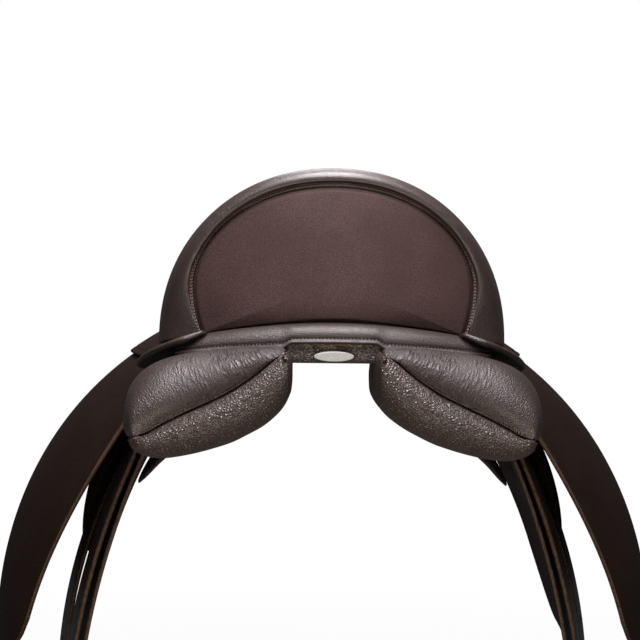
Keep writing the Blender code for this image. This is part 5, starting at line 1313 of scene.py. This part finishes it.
def makeSkirt(side):
    # it follows the flap, and bulges over the bar and its catch
    k, n = skirtLook, notchValues
    y = np.linspace(k["rearY"], k["frontY"], k["columns"])[None, :]
    w = np.linspace(0, 1, k["rows"])[:, None]
    s = k["top"] + (smoothThrough(k["depths"], y) - k["top"]) * w
    q = np.clip(1 - ((y - n["centre"]) / (n["half"] * k["bulgeReach"])) ** 2, 0, 1)
    fall = np.clip(1 - (np.clip(s - n["depth"] * k["bulgeFrom"], 0, 1) / n["depth"]) ** 2, 0, 1)
    out = flapValues["thickness"] / 2 + k["gap"] + k["thickness"] / 2 + k["bulge"] * q * q * fall
    grid = flapPoint(s, y + 0 * s, out) * flipped(side)
    hangingLeather(f"barSkirt_{side}", grid, k["thickness"], (looks["skirt"], looks["darkEdge"]),
                   f"skirt_{side}", [f"skirt_{side}"], "brown_leather", side)


def makeSweatFlap(side):
    y, length, w = hangingEdges(sweatValues, sweatLook)
    top = notch(y) * sweatLook["notchShare"]
    grid = sweatPoint(top + (length - top) * w, y, 0.0) * flipped(side)
    hangingLeather(f"sweatFlap_{side}", grid, sweatValues["thickness"], (looks["sweat"], looks["burnished"]),
                   "saddle", [f"sweat_flap_{side}"], "dark_leather", side)


rollLook = dict(
    inner=[(0.1140, -0.2180, 0.1115), (0.1310, -0.2160, 0.1035), (0.1440, -0.1920, 0.0960),
           (0.1500, -0.1670, 0.0915), (0.1465, -0.1350, 0.0920), (0.1350, -0.0995, 0.0975)],
    outer=[(0.1195, -0.2255, 0.1120), (0.1390, -0.2290, 0.1045), (0.1600, -0.2140, 0.0960),
           (0.1760, -0.1850, 0.0870), (0.1820, -0.1480, 0.0795), (0.1690, -0.0995, 0.0755)],
    thickness=0.0064, rows=150, flatSteps=14, roundSteps=16, seamAt=0.60, seamDepth=0.0010, seamWidth=0.07,
    thin=0.55, thicken=2.2, wedge=0.6, filling=0.25, fillingAt=0.85, fillingWidth=0.16, wider=1.10, taller=1.04,
    unworn=0.02, wornLeast=0.0004, wornReach=0.090, wornTurn=0.5, fold=0.35, threadUp=0.0002,
    stitch=dict(pitch=0.0034, length=0.0025, radius=0.00042))


def rollWedge(f):
    # its share of the full thickness, least along its inner side
    return rollLook["wedge"] + (1 - rollLook["wedge"]) * f


def makeRoll(side):
    # the sewn-down rear end of the skirt: flat inside, then a sewn line, then a filled, rounded edge
    k, mirror = rollLook, flipped(side)
    t = np.linspace(0, 1, k["rows"])
    inner, outer = alongPoints(k["inner"], t), alongPoints(k["outer"], t)
    across = unit(outer - inner)
    ahead = unit(np.gradient(outer, axis=0))
    up = unit(np.cross(ahead, across))
    up = np.where(up[:, 2:3] < 0, -up, up)
    half = (k["thickness"] / 2 * np.minimum(1.0, k["thin"] + k["thicken"] * t))[:, None]
    width = outer - inner - across * half
    flat = np.linspace(0, 1, k["flatSteps"], endpoint=False)
    ring, distance = [], []
    for f in flat:
        rise = half * rollWedge(f) - k["seamDepth"] * bell(f - k["seamAt"], k["seamWidth"])
        filling = half * k["filling"] * bell(f - k["fillingAt"], k["fillingWidth"])
        ring.append(inner + width * f + up * (rise + filling))
        distance.append(k["unworn"])
    for turn in np.linspace(math.pi / 2, -math.pi / 2, k["roundSteps"]):
        ring.append(inner + width + across * half * math.cos(turn) * k["wider"]
                    + up * half * math.sin(turn) * k["taller"])
        distance.append(k["wornLeast"] + k["wornReach"] * (1 - math.cos(turn - k["wornTurn"])))
    for f in flat[::-1]:
        ring.append(inner + width * f - up * half * rollWedge(f))
        distance.append(k["unworn"])
    rings = np.stack(ring, axis=1) * mirror
    distance = np.broadcast_to(np.array(distance), rings.shape[:2])
    masks = {"edge": distance, "fold": k["fold"] + 0 * distance}
    roll = loftMesh(f"cantleRoll_{side}", rings, gridUv(rings), masks)
    dress(roll, "saddle", [f"cantle_skirt_{side}"], "brown_leather", looks["roll"])
    line = inner + width * k["seamAt"] + up * (half * rollWedge(k["seamAt"]) - k["seamDepth"] + k["threadUp"])
    sewn(f"rollStitches_{side}", (line * mirror)[4:-3], (up * mirror)[4:-3], k["stitch"])


blockLook = dict(top=0.055, length=0.255, centreY=0.135, lean=0.020, half=0.031, height=0.038, off=0.0004,
                 taper=0.16, squareness=0.7, fullness=0.45, blunt=0.04, seamReach=0.012, rows=70, columns=72,
                 cap=0.0015)


def makeBlock(side):
    # the thigh block: a tapered cushion with a rounded square section, towards the front of the sweat flap
    b = blockLook
    t = np.linspace(0, 1, b["rows"])[:, None]
    turn = np.linspace(0, 2 * math.pi, b["columns"], endpoint=False)[None, :]
    swell = np.sin(math.pi * (b["blunt"] + (1 - 2 * b["blunt"]) * t)) ** b["fullness"]
    q, h = (np.sign(c) * np.abs(c) ** b["squareness"] for c in (np.cos(turn), np.sin(turn)))
    y = b["centreY"] + b["lean"] * np.sin(math.pi * t) + b["half"] * swell * q * (1 - b["taper"] * h)
    out = sweatValues["thickness"] / 2 + b["off"] + b["height"] * swell * (0.5 + 0.5 * h)
    rings = sweatPoint(b["top"] + b["length"] * t + 0 * q, y, out) * flipped(side)
    seam = (h + 1) * b["seamReach"] + 0 * rings[..., 0]
    block = loftMesh(f"thighBlock_{side}", rings, gridUv(rings), {"seam": seam})
    cushioned(block, b["cap"])
    dress(block, "saddle", [f"thigh_block_{side}"], "brown_leather", looks["block"], pad=0.9)


# Girth straps on their webs

strapLook = dict(width=0.029, thickness=0.0045, length=0.520, places={"rear": -0.058, "front": 0.045},
                 standoff=0.0118, top=0.030, straight=0.390, twist=0.28, tip=0.022, holes=7, spacing=0.025,
                 holeRadius=0.0026, endMargin=0.055, rowsPerHole=13, columns=19, topMore=0.0004, trim=0.0005,
                 tipShare=0.45, twistAfter=0.010, twistOver=0.080, webThickness=0.0022, webWidth=0.034,
                 webLength=0.054, webStart=0.0030, webGap=0.0012, webOff=0.0020, webRise=0.45,
                 webRound=0.0006, webRows=40, webColumns=16)


def strapSection(placeY, s, out):
    k, v = strapLook, sweatValues
    bent = sweatPoint(np.minimum(s, k["straight"]), placeY + 0 * s, out)
    slope = np.radians(smoothThrough(v["slopes"], placeY))
    now = slope + (v["endSlope"] - slope) * k["straight"] / v["length"]
    more = np.maximum(s - k["straight"], 0)
    return bent[..., 0] + more * np.cos(now), bent[..., 2] - more * np.sin(now)


def strapPoint(side, placeY, s, w):
    # below its web the strap turns a little about its own length
    k = strapLook
    f = np.clip((s - k["webLength"] - k["twistAfter"]) / k["twistOver"], 0, 1)
    twist = k["twist"] * f * f * (3 - 2 * f)
    x, z = strapSection(placeY, s, k["standoff"] + twist * w)
    return stacked(sides[side] * x, placeY + w + 0 * s, z)


def makeStrap(side, where):
    k = strapLook
    placeY = k["places"][where]
    end = k["top"] + k["length"]
    # rows in even steps from the lowest hole, so that each hole lies on a row
    step = k["spacing"] / k["rowsPerHole"]
    lowest = end - k["endMargin"]
    above = np.arange(int((lowest - k["top"]) / step), -1, -1)
    below = np.arange(1, int((end - k["trim"] - lowest) / step) + 1)
    s = np.concatenate([[k["top"] - k["topMore"]], lowest - above * step, lowest + below * step,
                        [end - k["trim"]]])[:, None]
    holes = [(1 + above[0] - k["rowsPerHole"] * n, k["columns"] // 2) for n in range(k["holes"])]
    u = np.linspace(-1, 1, k["columns"])[None, :]
    left = np.clip((end - s) / k["tip"], 0, 1)
    half = k["width"] / 2 * (k["tipShare"] + (1 - k["tipShare"]) * np.sqrt(1 - (1 - left) ** 2))
    grid = strapPoint(side, placeY, s + 0 * u, half * u)
    hangingLeather(f"girthStrap_{where}_{side}", grid, k["thickness"], (looks["strap"], looks["burnished"]),
                   f"strap_{where}_{side}", [f"girth_strap_{where}_{side}"], "dark_leather", side,
                   holes, k["holeRadius"])
    low = sweatValues["thickness"] / 2 + k["webThickness"] / 2 + k["webOff"]
    resting = k["standoff"] - k["thickness"] / 2 - k["webGap"] - k["webThickness"] / 2
    v = np.linspace(0, 1, k["webRows"])[:, None]
    across = np.linspace(-0.5, 0.5, k["webColumns"])[None, :] * k["webWidth"]
    f = np.clip(v / k["webRise"], 0, 1)
    out = low + (resting - low) * f * f * (3 - 2 * f)
    x, z = strapSection(placeY, k["webStart"] + (k["webLength"] - k["webStart"]) * v, out)
    grid = stacked(sides[side] * x + 0 * across, placeY + across + 0 * v, z + 0 * across)
    makeWeb(f"girthWeb_{where}_{side}", f"girth_web_{where}_{side}", grid, k["webThickness"], k["webRound"],
            looks["darkWeb"])


weltLook = dict(radius=0.0021, first=2.2, rows=5.8, inwards=0.0002, under=0.0006, steps=160, around=14)


def makeSeatWelt(side):
    # a cord in leather, hung just under the seat's edge
    k = weltLook
    t = (k["first"] + k["rows"] * np.linspace(0, 1, k["steps"])) / (seatCount - 1)
    path = alongPoints(seatValues["edge"], t) * flipped(side)
    path = path - np.array([sides[side] * k["inwards"], 0, k["radius"] + k["under"]])
    welt = tubeMesh(f"seatWelt_{side}", path, [0.0, 0.0, 1.0], k["radius"], k["around"])
    dress(welt, "saddle", [f"seat_welt_{side}"], "brown_leather", looks["roll"])


pocketLook = dict(centreY=0.170, half=0.021, taper=0.25, top=0.077, length=0.050, thickness=0.0014,
                  pointDepth=0.01263, gap=0.0012, steps=40)


def makePocket(side):
    # a patch over the tree's point, on the inner side of the sweat flap, narrower below
    k = pocketLook
    out = -k["pointDepth"] - k["thickness"] / 2 - k["gap"]
    u, v = np.linspace(0, 1, k["steps"])[None, :], np.linspace(0, 1, k["steps"])[:, None]
    y = k["centreY"] + k["half"] * (2 * u - 1) * (1.0 - k["taper"] * v * v)
    s = k["top"] + k["length"] * v + 0 * u
    x = sweatPoint(s, np.full_like(s, k["centreY"]), out)
    grid = stacked(sides[side] * x[..., 0], y, x[..., 2])
    pocket = sheetShell(f"pointPocket_{side}", grid, k["thickness"], None, borderDistance(grid))
    dress(pocket, "saddle", [f"point_pocket_{side}"], "dark_leather", looks["pocket"], looks["darkEdge"])


makeSeat()
makeUnderSeat()
makeFacing()
makeBand()
makeStrip()
makeBadge()
print("seat, facing and band made")
for side in sides:
    makePanel(side)
    makeFlap(side)
    makeSkirt(side)
    makeSweatFlap(side)
    makeRoll(side)
    makeBlock(side)
    makeSeatWelt(side)
    makePocket(side)
    for where in strapLook["places"]:
        makeStrap(side, where)
print("panels, flaps and straps made")

# The solids that stay, each with its finish
kept = dict(wood=["tree_head", "tree_cantle", "tree_rail_left", "tree_rail_right"],
            blackSteel=["gullet_plate", "head_plate", "rail_spring_left", "rail_spring_right"],
            forged=[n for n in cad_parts
                    if n.startswith(("stirrup_bar", "bar_catch", "bar_rivet", "ring_plate"))],
            steel=[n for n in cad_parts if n.startswith(("breastplate_ring", "saddle_nail", "catch_pin"))])
for finish, names in kept.items():
    for name in names:
        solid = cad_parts[name]
        for slot in solid.material_slots:
            slot.material = looks[finish]
print("kept solids finished:", sum(len(n) for n in kept.values()))


# Stage: a pale floor and backdrop, soft lamps, and the photograph's own view

stageLook = dict(floorZ=-0.47, floorSize=30.0, floorColour=0.10, worldColour=0.025,
                 seenColour=1.0, mirrored=0.05, glowNear=0.905, glowFar=1.0, glowFrom=1.0, glowTo=3.2)


def seenByEye(tree):
    # 1 for the camera's rays and through glass, a little in mirrors, 0 for light
    light = node(tree, "LightPath").outputs
    mirrored = maths(tree, "MULTIPLY", light["Is Glossy Ray"], stageLook["mirrored"])
    return maths(tree, "MAXIMUM", light["Is Camera Ray"],
                 maths(tree, "MAXIMUM", mirrored, light["Is Transmission Ray"]))


def makeStage():
    v = stageLook
    half = v["floorSize"] / 2
    grid = stacked(np.linspace(-half, half, 9)[None, :], np.linspace(-half, half, 9)[:, None], v["floorZ"])
    floor = meshFrom("floor", grid.reshape(-1, 3), gridQuads(9, 9))
    material, tree, shader = blank("paleFloor")
    tones = ((v["floorColour"] + by,) * 3 for by in (-0.01, 0.01))
    feed(tree, shader, {"Base Color": mixed(tree, objectNoise(tree, 3.0), *tones), "Roughness": 0.9,
                        "Specular IOR Level": 0.0})
    # the glow grows away from the object, as the lamps' light falls off, so that its shadow stays
    reach = node(tree, "VectorMath", {0: node(tree, "TexCoord").outputs["Object"]}, operation="LENGTH")
    strength = ranged(tree, reach.outputs["Value"], v["glowFrom"], v["glowTo"], v["glowNear"], v["glowFar"])
    strength = maths(tree, "MULTIPLY", seenByEye(tree), strength)
    glow = node(tree, "Emission", {"Color": (1, 1, 1, 1), "Strength": strength})
    both = node(tree, "AddShader", {0: shader.outputs[0], 1: glow.outputs[0]})
    out = [n for n in tree.nodes if n.type == "OUTPUT_MATERIAL"][0]
    tree.links.new(both.outputs[0], out.inputs[0])
    floor.data.materials.append(material)
    world = bpy.data.worlds.new("paleRoom")
    world.use_nodes = True
    tree = world.node_tree
    tree.nodes.clear()
    colour = mixed(tree, seenByEye(tree), (v["worldColour"],) * 3, (v["seenColour"],) * 3)
    back = node(tree, "Background", {"Color": colour, "Strength": 1.0})
    node(tree, "OutputWorld", {0: back.outputs[0]})
    bpy.context.scene.world = world


def lamp(name, place, target, size, energy, colour=(1, 1, 1)):
    data = bpy.data.lights.new(name, "AREA")
    data.shape = "RECTANGLE"
    data.size, data.size_y = size
    data.energy = energy
    data.color = colour
    made = bpy.data.objects.new(name, data)
    made.location = place
    aim = Vector(target) - Vector(place)
    made.rotation_euler = aim.to_track_quat("-Z", "Y").to_euler()
    bpy.context.scene.collection.objects.link(made)


cameraLook = dict(heading=math.radians(1.5), roll=math.radians(0.6), away=1.8, targetY=-0.2345, height=0.124,
                  lens=112.5, sensor=36.0, shift=-14 / 640)


def makeCamera():
    # level, looking a little to the right of straight ahead, turned a little about its own line of sight
    v = cameraLook
    heading, roll, away = v["heading"], v["roll"], v["away"]
    ahead = Vector((math.sin(heading), math.cos(heading), 0.0))
    right = Vector((math.cos(heading), -math.sin(heading), 0.0))
    up = Vector((0, 0, 1))
    turnedRight = right * math.cos(roll) + up * math.sin(roll)
    turnedUp = up * math.cos(roll) - right * math.sin(roll)
    data = bpy.data.cameras.new("photoCamera")
    data.sensor_fit, data.sensor_width = "HORIZONTAL", v["sensor"]
    data.lens, data.shift_x = v["lens"], v["shift"]
    data.clip_start, data.clip_end = 0.05, 100.0
    made = bpy.data.objects.new("photoCamera", data)
    matrix = np.eye(4)
    matrix[:3, 0], matrix[:3, 1], matrix[:3, 2] = turnedRight, turnedUp, -ahead
    matrix[:3, 3] = (-away * math.sin(heading), v["targetY"] - away * math.cos(heading), v["height"])
    made.matrix_world = Matrix(matrix.tolist())
    bpy.context.scene.collection.objects.link(made)
    bpy.context.scene.camera = made


makeStage()
lamp("overheadSoftbox", (0.0, -0.66, 1.20), (0, -0.28, 0.12), (0.5, 1.8), 50.0, (1.0, 0.955, 0.99))
lamp("rearFill", (0.10, -2.3, 0.70), (0, -0.1, 0.1), (0.35, 0.35), 2.1, (1.0, 0.98, 0.97))
lamp("lowFill", (0.0, -0.75, -0.44), (0, -0.25, 0.05), (0.8, 0.25), 3.6, (1.0, 0.82, 0.66))
lamp("frontFill", (0.0, 1.5, 1.5), (0, 0.1, 0.1), (0.7, 0.7), 7.0)
makeCamera()
bpy.context.scene.view_settings.view_transform = "Standard"
print("stage and camera set")
